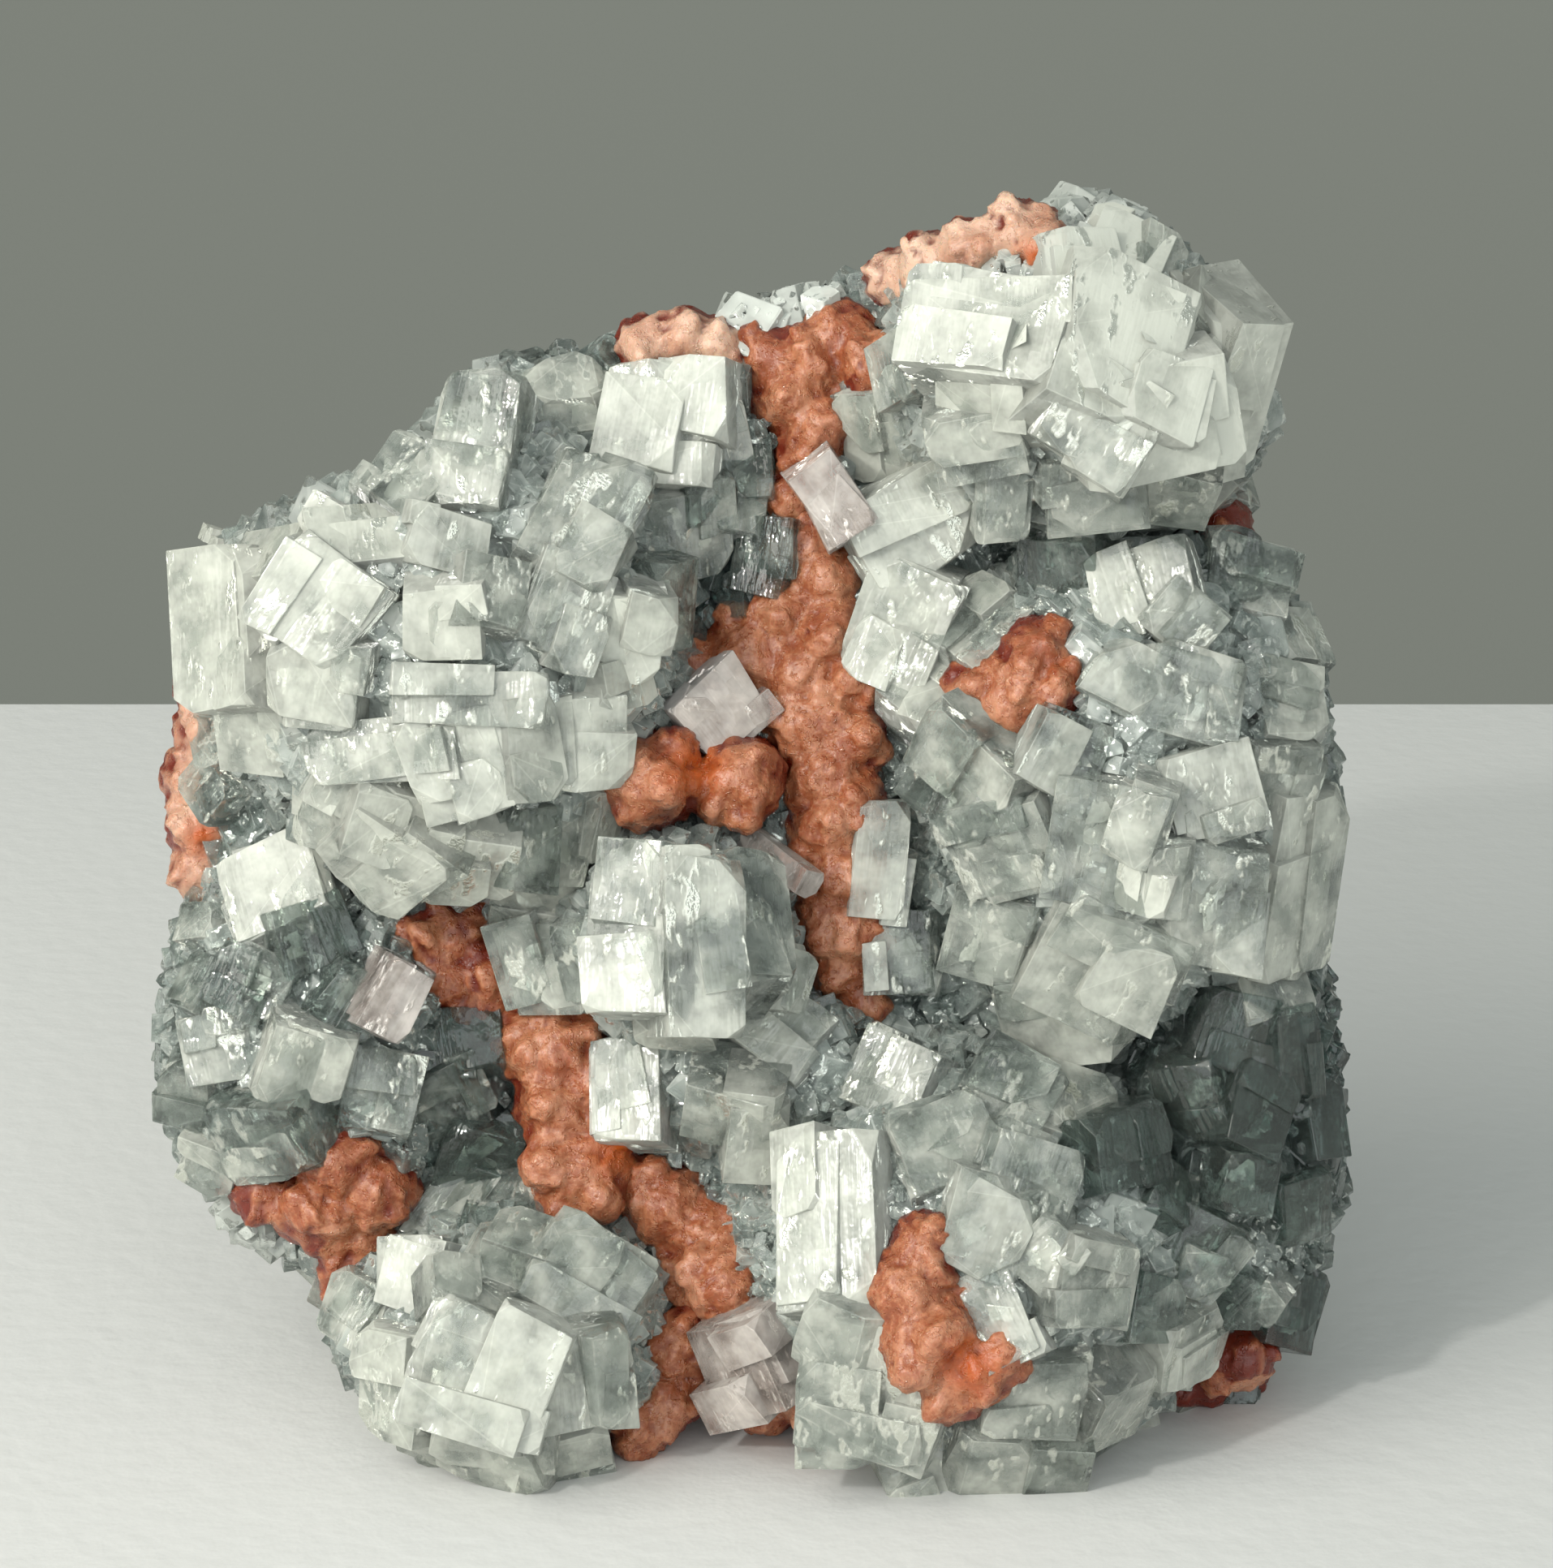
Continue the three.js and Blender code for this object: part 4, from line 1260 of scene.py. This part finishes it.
class ScatterTree:
    """The node tree that grows small crystals over a surface."""

    density = 4.0e6
    smallness = 1.6
    pattern_reach = 300.0

    def __init__(self, name: str, crystals: Sequence[bpy.types.Object], material: bpy.types.Material) -> None:
        """Builds the tree.

        Args:
            name: The tree's name.
            crystals: The shapes it picks from, 1 mm across and facing +Z.
            material: What the crystals are made of.
        """
        self.tree = bpy.data.node_groups.new(name, "GeometryNodeTree")
        self.bench = Bench(self.tree)
        face = self.tree.interface
        face.new_socket("Geometry", in_out="INPUT", socket_type="NodeSocketGeometry")
        for label in ("Spacing", "Smallest", "Largest", "Tilt", "Cloud"):
            face.new_socket(label, in_out="INPUT", socket_type="NodeSocketFloat")
        face.new_socket("Seed", in_out="INPUT", socket_type="NodeSocketInt")
        face.new_socket("Geometry", in_out="OUTPUT", socket_type="NodeSocketGeometry")
        self._build(crystals, material)

    def _random(self, kind: str, low: Entry, high: Entry, seed: Entry) -> Value:
        """Adds a Random Value node of one kind and returns its output."""
        rows = {"FLOAT_VECTOR": (0, 1, 0), "FLOAT": (2, 3, 1), "INT": (4, 5, 2)}
        low_at, high_at, out_at = rows[kind]
        node = self.bench.node("FunctionNodeRandomValue", {"data_type": kind}, {low_at: low, high_at: high})
        self.bench.feed(node.inputs["Seed"], seed)
        return Value(self.bench, node.outputs[out_at])

    def _build(self, crystals: Sequence[bpy.types.Object], material: bpy.types.Material) -> None:
        """Adds the nodes, from the surface to the finished crystals."""
        bench = self.bench
        given = bench.node("NodeGroupInput").outputs
        seed = Value(bench, given["Seed"])
        cover = bench.node("GeometryNodeInputNamedAttribute", {"data_type": "FLOAT"}, {"Name": "cover"})
        points = bench.node(
            "GeometryNodeDistributePointsOnFaces",
            {"distribute_method": "POISSON"},
            {
                "Mesh": given["Geometry"], "Distance Min": given["Spacing"], "Density Max": self.density,
                "Density Factor": cover.outputs[0], "Seed": seed,
            },
        )
        outwards = {"Vector": points.outputs["Normal"]}
        upright = bench.node("FunctionNodeAlignRotationToVector", {"axis": "Z"}, outwards)
        tilt = Value(bench, given["Tilt"])
        lean = self._random("FLOAT_VECTOR", (-1, -1, -math.pi), (1, 1, math.pi), seed + 1)
        parts = bench.node("ShaderNodeSeparateXYZ", {}, {0: lean}).outputs
        leans = [Value(bench, part) * tilt for part in parts[:2]]
        turns = bench.node("ShaderNodeCombineXYZ", {}, {0: leans[0], 1: leans[1], 2: parts[2]})
        turned = bench.node("FunctionNodeEulerToRotation", {}, {0: turns.outputs[0]})
        rotation = bench.node(
            "FunctionNodeRotateRotation",
            {"rotation_space": "LOCAL"},
            {0: upright.outputs[0], 1: turned.outputs[0]},
        )
        spread = self._random("FLOAT", 0.0, 1.0, seed + 2) ** self.smallness
        smallest, largest = Value(bench, given["Smallest"]), Value(bench, given["Largest"])
        shapes = bench.node("GeometryNodeGeometryToInstance")
        for crystal in crystals:
            info = bench.node("GeometryNodeObjectInfo", {}, {"Object": crystal})
            self.tree.links.new(info.outputs["Geometry"], shapes.inputs[0])
        grown = bench.node(
            "GeometryNodeInstanceOnPoints",
            {},
            {
                "Points": points.outputs["Points"], "Instance": shapes.outputs[0], "Pick Instance": True,
                "Instance Index": self._random("INT", 0, len(crystals) - 1, seed + 3),
                "Rotation": rotation.outputs[0], "Scale": smallest + spread * (largest - smallest),
            },
        )
        haze = bench.value("GeometryNodeInputNamedAttribute", {"data_type": "FLOAT"}, {"Name": "haze"})
        spot = bench.node("ShaderNodeSeparateXYZ", {}, {0: bench.value("GeometryNodeInputPosition")})
        reach = (self.pattern_reach,) * 3
        below = tuple(-part for part in reach)
        noted = grown
        for name, kind, entry in (
            ("shift", "FLOAT_VECTOR", self._random("FLOAT_VECTOR", below, reach, seed + 4)),
            ("growth", "FLOAT_VECTOR", points.outputs["Normal"]),
            ("side", "FLOAT", spot.outputs[0]),
            ("cloud", "FLOAT", self._random("FLOAT", 0.0, given["Cloud"], seed + 5) + haze),
        ):
            noted = bench.node(
                "GeometryNodeStoreNamedAttribute",
                {"data_type": kind, "domain": "INSTANCE"},
                {"Geometry": noted.outputs[0], "Name": name, "Value": entry},
            )
        real = bench.node("GeometryNodeRealizeInstances", {}, {0: noted.outputs[0]})
        dressed = bench.node(
            "GeometryNodeSetMaterial", {}, {"Geometry": real.outputs[0], "Material": material}
        )
        bench.node("NodeGroupOutput", {}, {0: dressed.outputs[0]})

    def grow(self, name: str, surface: bpy.types.Mesh, settings: dict[str, float | int]) -> bpy.types.Object:
        """Grows crystals over a surface.

        Args:
            name: The new object's name.
            surface: The surface, with a "cover" attribute that says where they grow.
            settings: The tree's inputs by name.

        Returns:
            An object that holds the crystals alone, as a plain mesh.
        """
        holder = new_object(f"{name}_holder", surface)
        modifier = holder.modifiers.new("growth", "NODES")
        modifier.node_group = self.tree
        for item in self.tree.interface.items_tree:
            if item.name in settings:
                modifier[item.identifier] = settings[item.name]
        made = new_object(name, evaluated_mesh(holder))
        bpy.data.objects.remove(holder)
        return made

    @staticmethod
    def halves(whole: bpy.types.Object) -> list[bpy.types.Object]:
        """Parts grown crystals in two, left and right of the middle, each crystal staying whole.

        Args:
            whole: The crystals, which this removes.

        Returns:
            The two objects.
        """
        made = []
        for label, is_left in (("left", True), ("right", False)):
            part = bmesh.new()
            part.from_mesh(whole.data)
            side = part.verts.layers.float["side"]
            others = [vertex for vertex in part.verts if (vertex[side] < 0) != is_left]
            bmesh.ops.delete(part, geom=others, context="VERTS")
            mesh = whole.data.copy()
            part.to_mesh(mesh)
            part.free()
            made.append(new_object(f"{whole.name}_{label}", mesh))
        bpy.data.objects.remove(whole)
        return made


@dataclass
class ApophylliteCrust:
    """The crust: its bed, its main blocks and the small crystals between them.

    Sizes are in millimetres but for the tiny crystals' lift, and the covers are shares of a lump or a block.
    """

    finish: ApophylliteFinish
    grain_finish: GrainFinish
    bed_finish: BedFinish
    cutter: CrystalCutter
    node: str = "apophyllite_crust"
    bed_voxel: float = 1.1
    edge_inset: float = 1.6
    tiny_lift: float = 1.8 * MM
    side_depth: float = 5.0
    rim_step: float = 6.0
    rim_size: tuple[float, float] = (5.0, 8.5)
    rim_flatness: float = 0.85
    rim_chamfer: float = 0.1
    rim_milk: float = 0.45
    small_sizes: tuple[tuple[float, float], ...] = ((1.0, 1.0), (0.8, 1.1), (1.15, 0.85), (0.7, 0.75))
    small_chamfer: float = 0.03
    small_depth: float = 1.5
    small_pattern: float = 3.5
    lump_cover: float = 0.78
    large_cover: float = 0.46
    usual_cover: float = 0.26
    least_cover: float = 4.5
    back_from: float = 2.0
    foot_clear: float = 5.0

    def bed(self) -> bpy.types.Object:
        """Builds the mounds' own surface, which shows darkly between the crystals.

        Returns:
            The bed, in metres in the specimen's frame.
        """
        shells = bmesh.new()
        inset = RELIEF.inset
        for mound in RELIEF.mounds:
            made = bmesh.ops.create_icosphere(shells, subdivisions=4, radius=1.0)
            for vertex in made["verts"]:
                x, y, z = vertex.co
                depth = RELIEF.back if y > 0 else mound.out - inset
                vertex.co = (
                    mound.x + x * (mound.half_width - inset),
                    y * depth,
                    mound.z + z * (mound.half_height - inset),
                )
        mesh = bpy.data.meshes.new("bed_shells")
        shells.to_mesh(mesh)
        shells.free()
        skin = remeshed(mesh, self.bed_voxel)
        world = PLATE.matrix()

        def roughened(spot: Vector, normal: Vector) -> Vector:
            """Roughens a point and takes it to the specimen's frame."""
            rough = 0.7 * noise.noise(spot * 0.22) + 0.3 * noise.noise(spot * 0.8)
            centre = Vector((PLATE_CENTRE[0], spot.y, PLATE_CENTRE[1]))
            over = (spot - centre).length / max(reach_at(spot.x, spot.z) - self.edge_inset, 1.0)
            if over > 1:
                spot = centre + (spot - centre) / over
            place = world @ (spot + normal * (rough - 0.4))
            place.z = max(place.z, 0.0)
            return place

        moved_points(skin, roughened)
        return new_object("apophyllite_bed", skin)

    def rim_blocks(self) -> list[tuple[Matrix, float]]:
        """Lays out blocks along the crust's edge, facing half outwards.

        Returns:
            A place in the plate's frame and a size for each.
        """
        rng = self.cutter.rng
        centre = Vector((PLATE_CENTRE[0], 0, PLATE_CENTRE[1]))
        corners = [Vector((x, 0, z)) for x, z in OUTLINE]
        made = []
        for start, end in zip(corners, corners[1:] + corners[:1]):
            steps = max(1, round((end - start).length / self.rim_step))
            for step in range(steps):
                spot = start.lerp(end, (step + rng.random() * 0.6) / steps)
                outwards = (spot - centre).normalized()
                size = rng.uniform(*self.rim_size)
                facing = (outwards + OUTWARDS * rng.uniform(0.4, 1.1)).normalized()
                turn = OUTWARDS.rotation_difference(facing).to_matrix().to_4x4()
                spin = Matrix.Rotation(rng.uniform(0, math.pi), 4, "Y")
                spot = spot - outwards * (0.5 * size) + OUTWARDS * rng.uniform(1.0, 6.0)
                made.append((Matrix.Translation(spot) @ turn @ spin, size))
        return made

    def main_blocks(self) -> bpy.types.Object:
        """Cuts every block of the tables and the rim's blocks.

        Returns:
            One object that holds them all.
        """
        batch = MeshBatch()
        for mound, rows in BLOCKS.items():
            for row in rows:
                self.cutter.add_crystal(batch, Block(*row), MILKINESS[mound] + milk_at(row[0], row[1]))
        world = PLATE.matrix()
        for place, size in self.rim_blocks():
            stand = world @ place
            offset = self.cutter.pattern_offset()
            part = self.cutter.slab(size, size * self.rim_flatness, size, self.rim_chamfer)
            self.cutter.cut_at_floor(part, stand)
            if part.faces:
                batch.add(part, stand, offset, self.rim_milk)
            part.free()
        return new_object("apophyllite_blocks", batch.mesh("apophyllite_blocks"))

    def small_shapes(self) -> list[bpy.types.Object]:
        """Cuts the few shapes that the small crystals repeat.

        Returns:
            The shapes, 1 mm across and facing +Z.
        """
        made = []
        down = Matrix.Translation((0, 0, 0.3 * self.small_depth))
        stand = Matrix.Scale(MM, 4) @ down @ Matrix.Rotation(-math.pi / 2, 4, "X")
        for index, (width, height) in enumerate(self.small_sizes):
            batch = MeshBatch()
            part = self.cutter.slab(width, height, self.small_depth, self.small_chamfer)
            batch.add(part, stand, Vector(), 0.0)
            part.free()
            batch.notes["crystal"] = [entry * self.small_pattern for entry in batch.notes["crystal"]]
            made.append(new_object(f"small_shape_{index}", batch.mesh(f"small_shape_{index}")))
        return made

    def cover(self, bed: bpy.types.Mesh) -> list[float]:
        """Says where small crystals grow.

        Args:
            bed: The crust's bed.

        Returns:
            1 for each point where they grow, and 0 at the back, the foot, under big blocks and in stilbite.
        """
        back = PLATE.matrix().inverted()
        lumps = [row for cluster in CLUSTERS.values() for row in cluster.lumps]
        blocks = []
        for mound, rows in BLOCKS.items():
            share = self.large_cover if mound in LARGE_BLOCKED else self.usual_cover
            for x, z, width, height, *_ in rows:
                if min(width, height) > self.least_cover:
                    blocks.append((x, z, share * (width + height) / 2, RELIEF.height(x, z)))
        made = []
        for vertex in bed.vertices:
            place = back @ vertex.co
            hidden = (
                place.y > self.back_from
                or vertex.co.z < self.foot_clear * MM
                or any(
                    math.hypot(place.x - x, place.z - z) < self.lump_cover * radius
                    for x, z, radius, _ in lumps
                )
                or any(
                    math.hypot(place.x - x, place.z - z) < reach and height + place.y < self.side_depth
                    for x, z, reach, height in blocks
                )
            )
            made.append(0.0 if hidden else 1.0)
        return made

    def haze(self, bed: bpy.types.Mesh) -> list[float]:
        """Says how milky the small crystals are and how light the bed is under them: the bed darkens in the
        valleys as painted shade.

        Args:
            bed: The crust's bed.

        Returns:
            The milkiness of the mound that stands highest at each point, less in the valleys.
        """
        back = PLATE.matrix().inverted()
        made = []
        for vertex in bed.vertices:
            place = back @ vertex.co
            best, share = "", -9.0
            for name, mound in MOUNDS.items():
                if name == "bed":
                    continue
                over = 1 - math.hypot(
                    (place.x - mound.x) / mound.half_width, (place.z - mound.z) / mound.half_height
                )
                if over > share:
                    best, share = name, over
            milk = 0.75 * MILKINESS[best] * min(max(0.3 + 2.0 * share, 0.1), 1.0) + milk_at(place.x, place.z)
            made.append(milk)
        return made

    def small_crystals(self, bed: bpy.types.Object, material: bpy.types.Material) -> list[bpy.types.Object]:
        """Grows medium and tiny crystals over the bed.

        Args:
            bed: The crust's bed.
            material: The crystals' finish.

        Returns:
            Three objects, the medium crystals and the tiny ones in two halves.
        """
        shapes = self.small_shapes()
        tree = ScatterTree("crystal_growth", shapes, material)
        surface = bed.data.copy()
        write_attribute(surface, "cover", Domain.POINT, self.cover(surface))
        tilt = math.radians(42)
        medium = {
            "Spacing": 2.5 * MM, "Smallest": 2.2, "Largest": 5.6, "Tilt": tilt, "Cloud": 0.5, "Seed": 11,
        }
        tiny = {"Spacing": 1.4 * MM, "Smallest": 0.9, "Largest": 2.8, "Tilt": tilt, "Cloud": 0.6, "Seed": 29}
        medium_surface = surface.copy()
        moved_points(surface, lambda spot, normal: spot + normal * self.tiny_lift)
        made = [
            tree.grow("apophyllite_medium_crystals", medium_surface, medium),
            *tree.halves(tree.grow("apophyllite_tiny_crystals", surface, tiny)),
        ]
        for shape in shapes:
            bpy.data.objects.remove(shape)
        return made

    def build(self) -> list[bpy.types.Object]:
        """Builds and dresses the crust.

        Returns:
            Its pieces.
        """
        glass = self.finish.material()
        bed = self.bed()
        bed.data.materials.append(self.bed_finish.material())
        write_attribute(bed.data, "haze", Domain.POINT, self.haze(bed.data))
        blocks = self.main_blocks()
        blocks.data.materials.append(glass)
        grains = self.grain_finish.material()
        pieces = [bed, blocks, *self.small_crystals(bed, grains)]
        for piece in pieces:
            seat(piece, self.node)
        return pieces


@dataclass
class PerchedCrystals:
    """The blocks that stand on the stilbite, clear of the crust."""

    finish: ApophylliteFinish
    cutter: CrystalCutter
    milk: float = 0.75

    def build(self) -> list[bpy.types.Object]:
        """Builds and dresses the blocks.

        Returns:
            One piece for each.
        """
        glass = self.finish.material()
        pieces = []
        for node, row in PERCHED.items():
            batch = MeshBatch()
            self.cutter.add_crystal(batch, Block(*row), self.milk)
            piece = new_object(f"{node}_crystal", batch.mesh(node))
            piece.data.materials.append(glass)
            seat(piece, node)
            pieces.append(piece)
        return pieces


# ---------------------------------------------------------------- stilbite


@dataclass
class StilbiteClusters:
    """Every cluster of stilbite: lumps with knobs, joined, then ridged like sheaves of blades."""

    finish: StilbiteFinish
    seed: int = 5
    reach: float = 1.5
    sink: float = 1.0
    voxel: float = 0.38
    knobs: int = 5
    knob_size: tuple[float, float] = (0.3, 0.5)
    knob_depth: float = 1.2
    knob_out: float = 0.84
    hinge_side: float = 0.5
    hinge_up: tuple[float, float] = (0.3, 0.9)

    def shells(self, lumps: Sequence[tuple[float, ...]], rng: random.Random) -> bpy.types.Mesh:
        """Places a cluster's lumps and their knobs as overlapping balls.

        Args:
            lumps: The cluster's rows.
            rng: Where the knobs' places come from.

        Returns:
            The shells in plate millimetres.
        """
        shells = bmesh.new()
        for x, z, radius, proud in lumps:
            half_depth = self.reach * radius
            middle = Vector((x, half_depth - proud + self.sink - RELIEF.height(x, z), z))
            self._ball(shells, middle, Vector((radius, half_depth, radius)), 3)
            for _ in range(self.knobs):
                way = Vector((rng.uniform(-1, 1), -rng.uniform(0.2, 1.1), rng.uniform(-1, 1))).normalized()
                size = radius * rng.uniform(*self.knob_size)
                spot = middle + Vector((way.x * radius, way.y * half_depth, way.z * radius)) * self.knob_out
                self._ball(shells, spot, Vector((size, size * self.knob_depth, size)), 2)
        mesh = bpy.data.meshes.new("stilbite_shells")
        shells.to_mesh(mesh)
        shells.free()
        return mesh

    @staticmethod
    def _ball(shells: bmesh.types.BMesh, middle: Vector, size: Vector, detail: int) -> None:
        """Adds one stretched ball."""
        made = bmesh.ops.create_icosphere(shells, subdivisions=detail, radius=1.0)
        for vertex in made["verts"]:
            vertex.co = middle + Vector((vertex.co.x * size.x, vertex.co.y * size.y, vertex.co.z * size.z))

    def shape(self, name: str, cluster: Cluster) -> bpy.types.Object:
        """Builds one cluster.

        Args:
            name: The cluster's name.
            cluster: Its lumps and tints.

        Returns:
            The cluster in metres in the specimen's frame, with the attributes that its finish reads.
        """
        rng = random.Random(f"{self.seed}{name}")
        lumps = cluster.lumps
        mesh = remeshed(self.shells(lumps, rng), self.voxel)
        side, up = self.hinge_side, self.hinge_up
        hinges = [
            Vector((x + rng.uniform(-side, side) * radius, 0, z + rng.uniform(*up) * radius))
            for x, z, radius, _ in lumps
        ]
        world = PLATE.matrix()
        notes: dict[str, list[Any]] = {"fan": [], "core": [], "depth": [], "pale": []}

        def ridged(place: Vector, normal: Vector) -> Vector:
            """Ridges a point, notes what its finish needs and takes it to the specimen's frame."""
            nearest = min(
                range(len(lumps)),
                key=lambda i: math.hypot(place.x - lumps[i][0], place.z - lumps[i][1]) / lumps[i][2],
            )
            x, z, radius, proud = lumps[nearest]
            arm = Vector((place.x - hinges[nearest].x, 0, place.z - hinges[nearest].z))
            angle = math.atan2(arm.z, arm.x)
            far = min(arm.length / radius, 1.0)
            blade = noise.noise(Vector((angle * 3.5, arm.length * 0.12, place.y * 0.12 + x)))
            edge = noise.noise(Vector((angle * 9.0, arm.length * 0.25, place.y * 0.2 + z)))
            warp = 0.9 * noise.noise_vector(place * 0.35)
            cell = noise.voronoi(place * 0.34 + warp)[0][0]
            fine = noise.noise(place * 0.9 + warp)
            swell = 0.45 * (0.45 - cell) + 0.3 * fine + far * (0.4 * blade + 0.2 * edge)
            nearness = [1 - math.hypot(place.x - cx, place.z - cz) / reach for cx, cz, reach in ORANGE_CORES]
            top = RELIEF.height(x, z) + proud
            # The depth note, a point's depth below its lump's top plus the cluster's red, darkens the
            # stilbite to dark red: painted shade in the crevices, and partly the stilbite's own deeper red.
            sunk = (top + place.y) / (1.7 * radius) - 0.45 + 0.6 * (cell - 0.4)
            sunk = sunk - 0.4 * fine - 0.5 * far * blade
            notes["fan"].append(arm)
            notes["core"].append(max(0.0, *nearness))
            notes["depth"].append(min(max(cluster.red + sunk, -1.0), 1.0))
            pale = max(0.0, cluster.pale + 0.5 * noise.noise(place * 0.25)) if cluster.pale else 0.0
            notes["pale"].append(pale)
            moved = world @ (place + normal * swell)
            moved.z = max(moved.z, 0.0)
            return moved

        moved_points(mesh, ridged)
        for label, entries in notes.items():
            write_attribute(mesh, label, Domain.POINT, entries)
        mesh.shade_smooth()
        return new_object(f"stilbite_{name}_blades", mesh)

    def build(self) -> list[bpy.types.Object]:
        """Builds and dresses the clusters.

        Returns:
            One piece for each.
        """
        material = self.finish.material()
        pieces = []
        for name, cluster in CLUSTERS.items():
            piece = self.shape(name, cluster)
            piece.data.materials.append(material)
            seat(piece, f"stilbite_{name}")
            pieces.append(piece)
        return pieces


# ---------------------------------------------------------------- basalt


@dataclass
class BasaltPlate:
    """The rock plate: the frame's solid, given a broken surface."""

    finish: BasaltFinish
    node: str = "basalt_matrix"
    voxel: float = 1.1 * MM
    foot: float = 0.4 * MM

    def build(self, frame: dict[str, Any]) -> list[bpy.types.Object]:
        """Builds and dresses the plate.

        Args:
            frame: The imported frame.

        Returns:
            The plate, as a list of one.
        """
        rock = bmesh.new()
        rock.from_mesh(frame["nodes"][self.node].data)
        bmesh.ops.remove_doubles(rock, verts=rock.verts, dist=1e-6)
        mesh = bpy.data.meshes.new("basalt_shell")
        rock.to_mesh(mesh)
        rock.free()
        skin = remeshed(mesh, self.voxel)

        def broken(spot: Vector, normal: Vector) -> Vector:
            """Breaks the surface up, but leaves the foot flat."""
            if spot.z < self.foot:
                return Vector((spot.x, spot.y, 0.0))
            place = spot / MM
            rough = 1.3 * noise.noise(place * 0.09) + 0.9 * noise.noise(place * 0.26)
            rough += 0.5 * noise.noise(place * 0.7)
            steps = 0.9 * noise.voronoi(place * 0.13 + 0.4 * noise.noise_vector(place * 0.2))[0][0]
            return spot + normal * (min(rough, 0.7) - steps - 0.1) * MM

        moved_points(skin, broken)
        piece = new_object("basalt_rock", skin)
        piece.data.materials.append(self.finish.material())
        seat(piece, self.node)
        return [piece]


# ---------------------------------------------------------------- stage


@dataclass
class Stage:
    """The plain floor and wall, the lights and the camera."""

    distance: float = 0.45
    elevation: float = math.radians(19)
    aim: tuple[float, float, float] = (0.0028, 0.0, 0.0577)
    frame_height: float = 0.1421
    sensor: float = 36.0
    floor_end: float = 0.2
    wall_at: float = 1.8
    floor_colour: Colour = (0.72, 0.72, 0.70, 1)
    wall_colour: Colour = (0.36, 0.36, 0.32, 1)
    room_colour: Colour = (0.77, 0.84, 0.82, 1)
    room_light: float = 0.58
    lamps: tuple[tuple[Any, ...], ...] = (
        ("key", (-0.56, -0.42, 0.50), 0.7, 5.2, (1.0, 0.975, 0.91)),
        ("sparkle", (-0.44, -0.56, 0.46), 0.04, 2.0, (1.0, 0.98, 0.94)),
        ("fill", (0.1, -0.9, 0.4), 0.9, 3.4, (0.95, 0.98, 1.0)),
    )

    def floor_and_wall(self) -> None:
        """Adds a pale floor that ends behind the object and a far grey wall, neither of them part of it."""
        end, wall = self.floor_end, self.wall_at
        for name, colour, corners in (
            ("floor", self.floor_colour, ((-2, -2, 0), (2, -2, 0), (2, end, 0), (-2, end, 0))),
            ("wall", self.wall_colour, ((-5, wall, -2), (5, wall, -2), (5, wall, 3), (-5, wall, 3))),
        ):
            mesh = bpy.data.meshes.new(name)
            mesh.from_pydata(corners, [], [(0, 1, 2, 3)])
            plane = new_object(name, mesh)
            mesh.materials.append(PlainFinish(name, colour).material())

    def lamp(
        self, name: str, place: Sequence[float], size: float, watts: float, colour: Sequence[float]
    ) -> None:
        """Adds a soft square lamp that points at the specimen.

        Args:
            name: The lamp's name.
            place: Where it hangs, in metres.
            size: Its side, in metres.
            watts: Its power.
            colour: Its colour.
        """
        light = bpy.data.lights.new(name, "AREA")
        light.size = size
        light.energy = watts
        light.color = colour
        lamp = bpy.data.objects.new(name, light)
        lamp.location = place
        lamp.rotation_euler = (Vector(self.aim) - Vector(place)).to_track_quat("-Z", "Y").to_euler()
        bpy.context.scene.collection.objects.link(lamp)

    def camera(self) -> None:
        """Adds the camera at the viewing angle."""
        lens = bpy.data.cameras.new("camera")
        lens.sensor_width = self.sensor
        lens.lens = self.sensor * self.distance / self.frame_height
        lens.clip_start, lens.clip_end = 0.01, 20
        camera = bpy.data.objects.new("camera", lens)
        back = Vector((0, -math.cos(self.elevation), math.sin(self.elevation)))
        camera.location = Vector(self.aim) + back * self.distance
        camera.rotation_euler = (-back).to_track_quat("-Z", "Y").to_euler()
        bpy.context.scene.collection.objects.link(camera)
        bpy.context.scene.camera = camera

    def build(self) -> None:
        """Sets the whole stage."""
        self.floor_and_wall()
        self.camera()
        for row in self.lamps:
            self.lamp(*row)
        world = bpy.data.worlds.new("room")
        world.use_nodes = True
        background = world.node_tree.nodes["Background"]
        background.inputs["Color"].default_value = self.room_colour
        background.inputs["Strength"].default_value = self.room_light
        bpy.context.scene.world = world
        bpy.context.scene.view_settings.view_transform = "Standard"


# ---------------------------------------------------------------- the whole


def seat(piece: bpy.types.Object, node: str) -> None:
    """Makes a piece ride with the specimen and stand for a node of the frame.

    Args:
        piece: The piece.
        node: The node that it replaces.
    """
    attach(piece, BODY)
    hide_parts(node)


def report(pieces: Iterable[bpy.types.Object]) -> None:
    """Logs each piece's name and triangle count."""
    total = 0
    for piece in pieces:
        triangles = sum(len(face.vertices) - 2 for face in piece.data.polygons)
        total += triangles
        LOG.info("%s: %d triangles", piece.name, triangles)
    LOG.info("whole specimen: %d triangles", total)


def main() -> None:
    """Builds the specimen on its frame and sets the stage."""
    logging.basicConfig(level=logging.INFO, format="%(name)s: %(message)s")
    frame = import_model()
    noise.seed_set(NOISE_SEED)
    cutter = CrystalCutter()
    pieces = [
        *ApophylliteCrust(ApophylliteFinish(), GrainFinish(), BedFinish(), cutter).build(),
        *PerchedCrystals(PINKISH_CRYSTAL, cutter).build(),
        *StilbiteClusters(StilbiteFinish()).build(),
        *BasaltPlate(BasaltFinish()).build(frame),
    ]
    Stage().build()
    report(pieces)


if __name__ == "__main__":
    main()
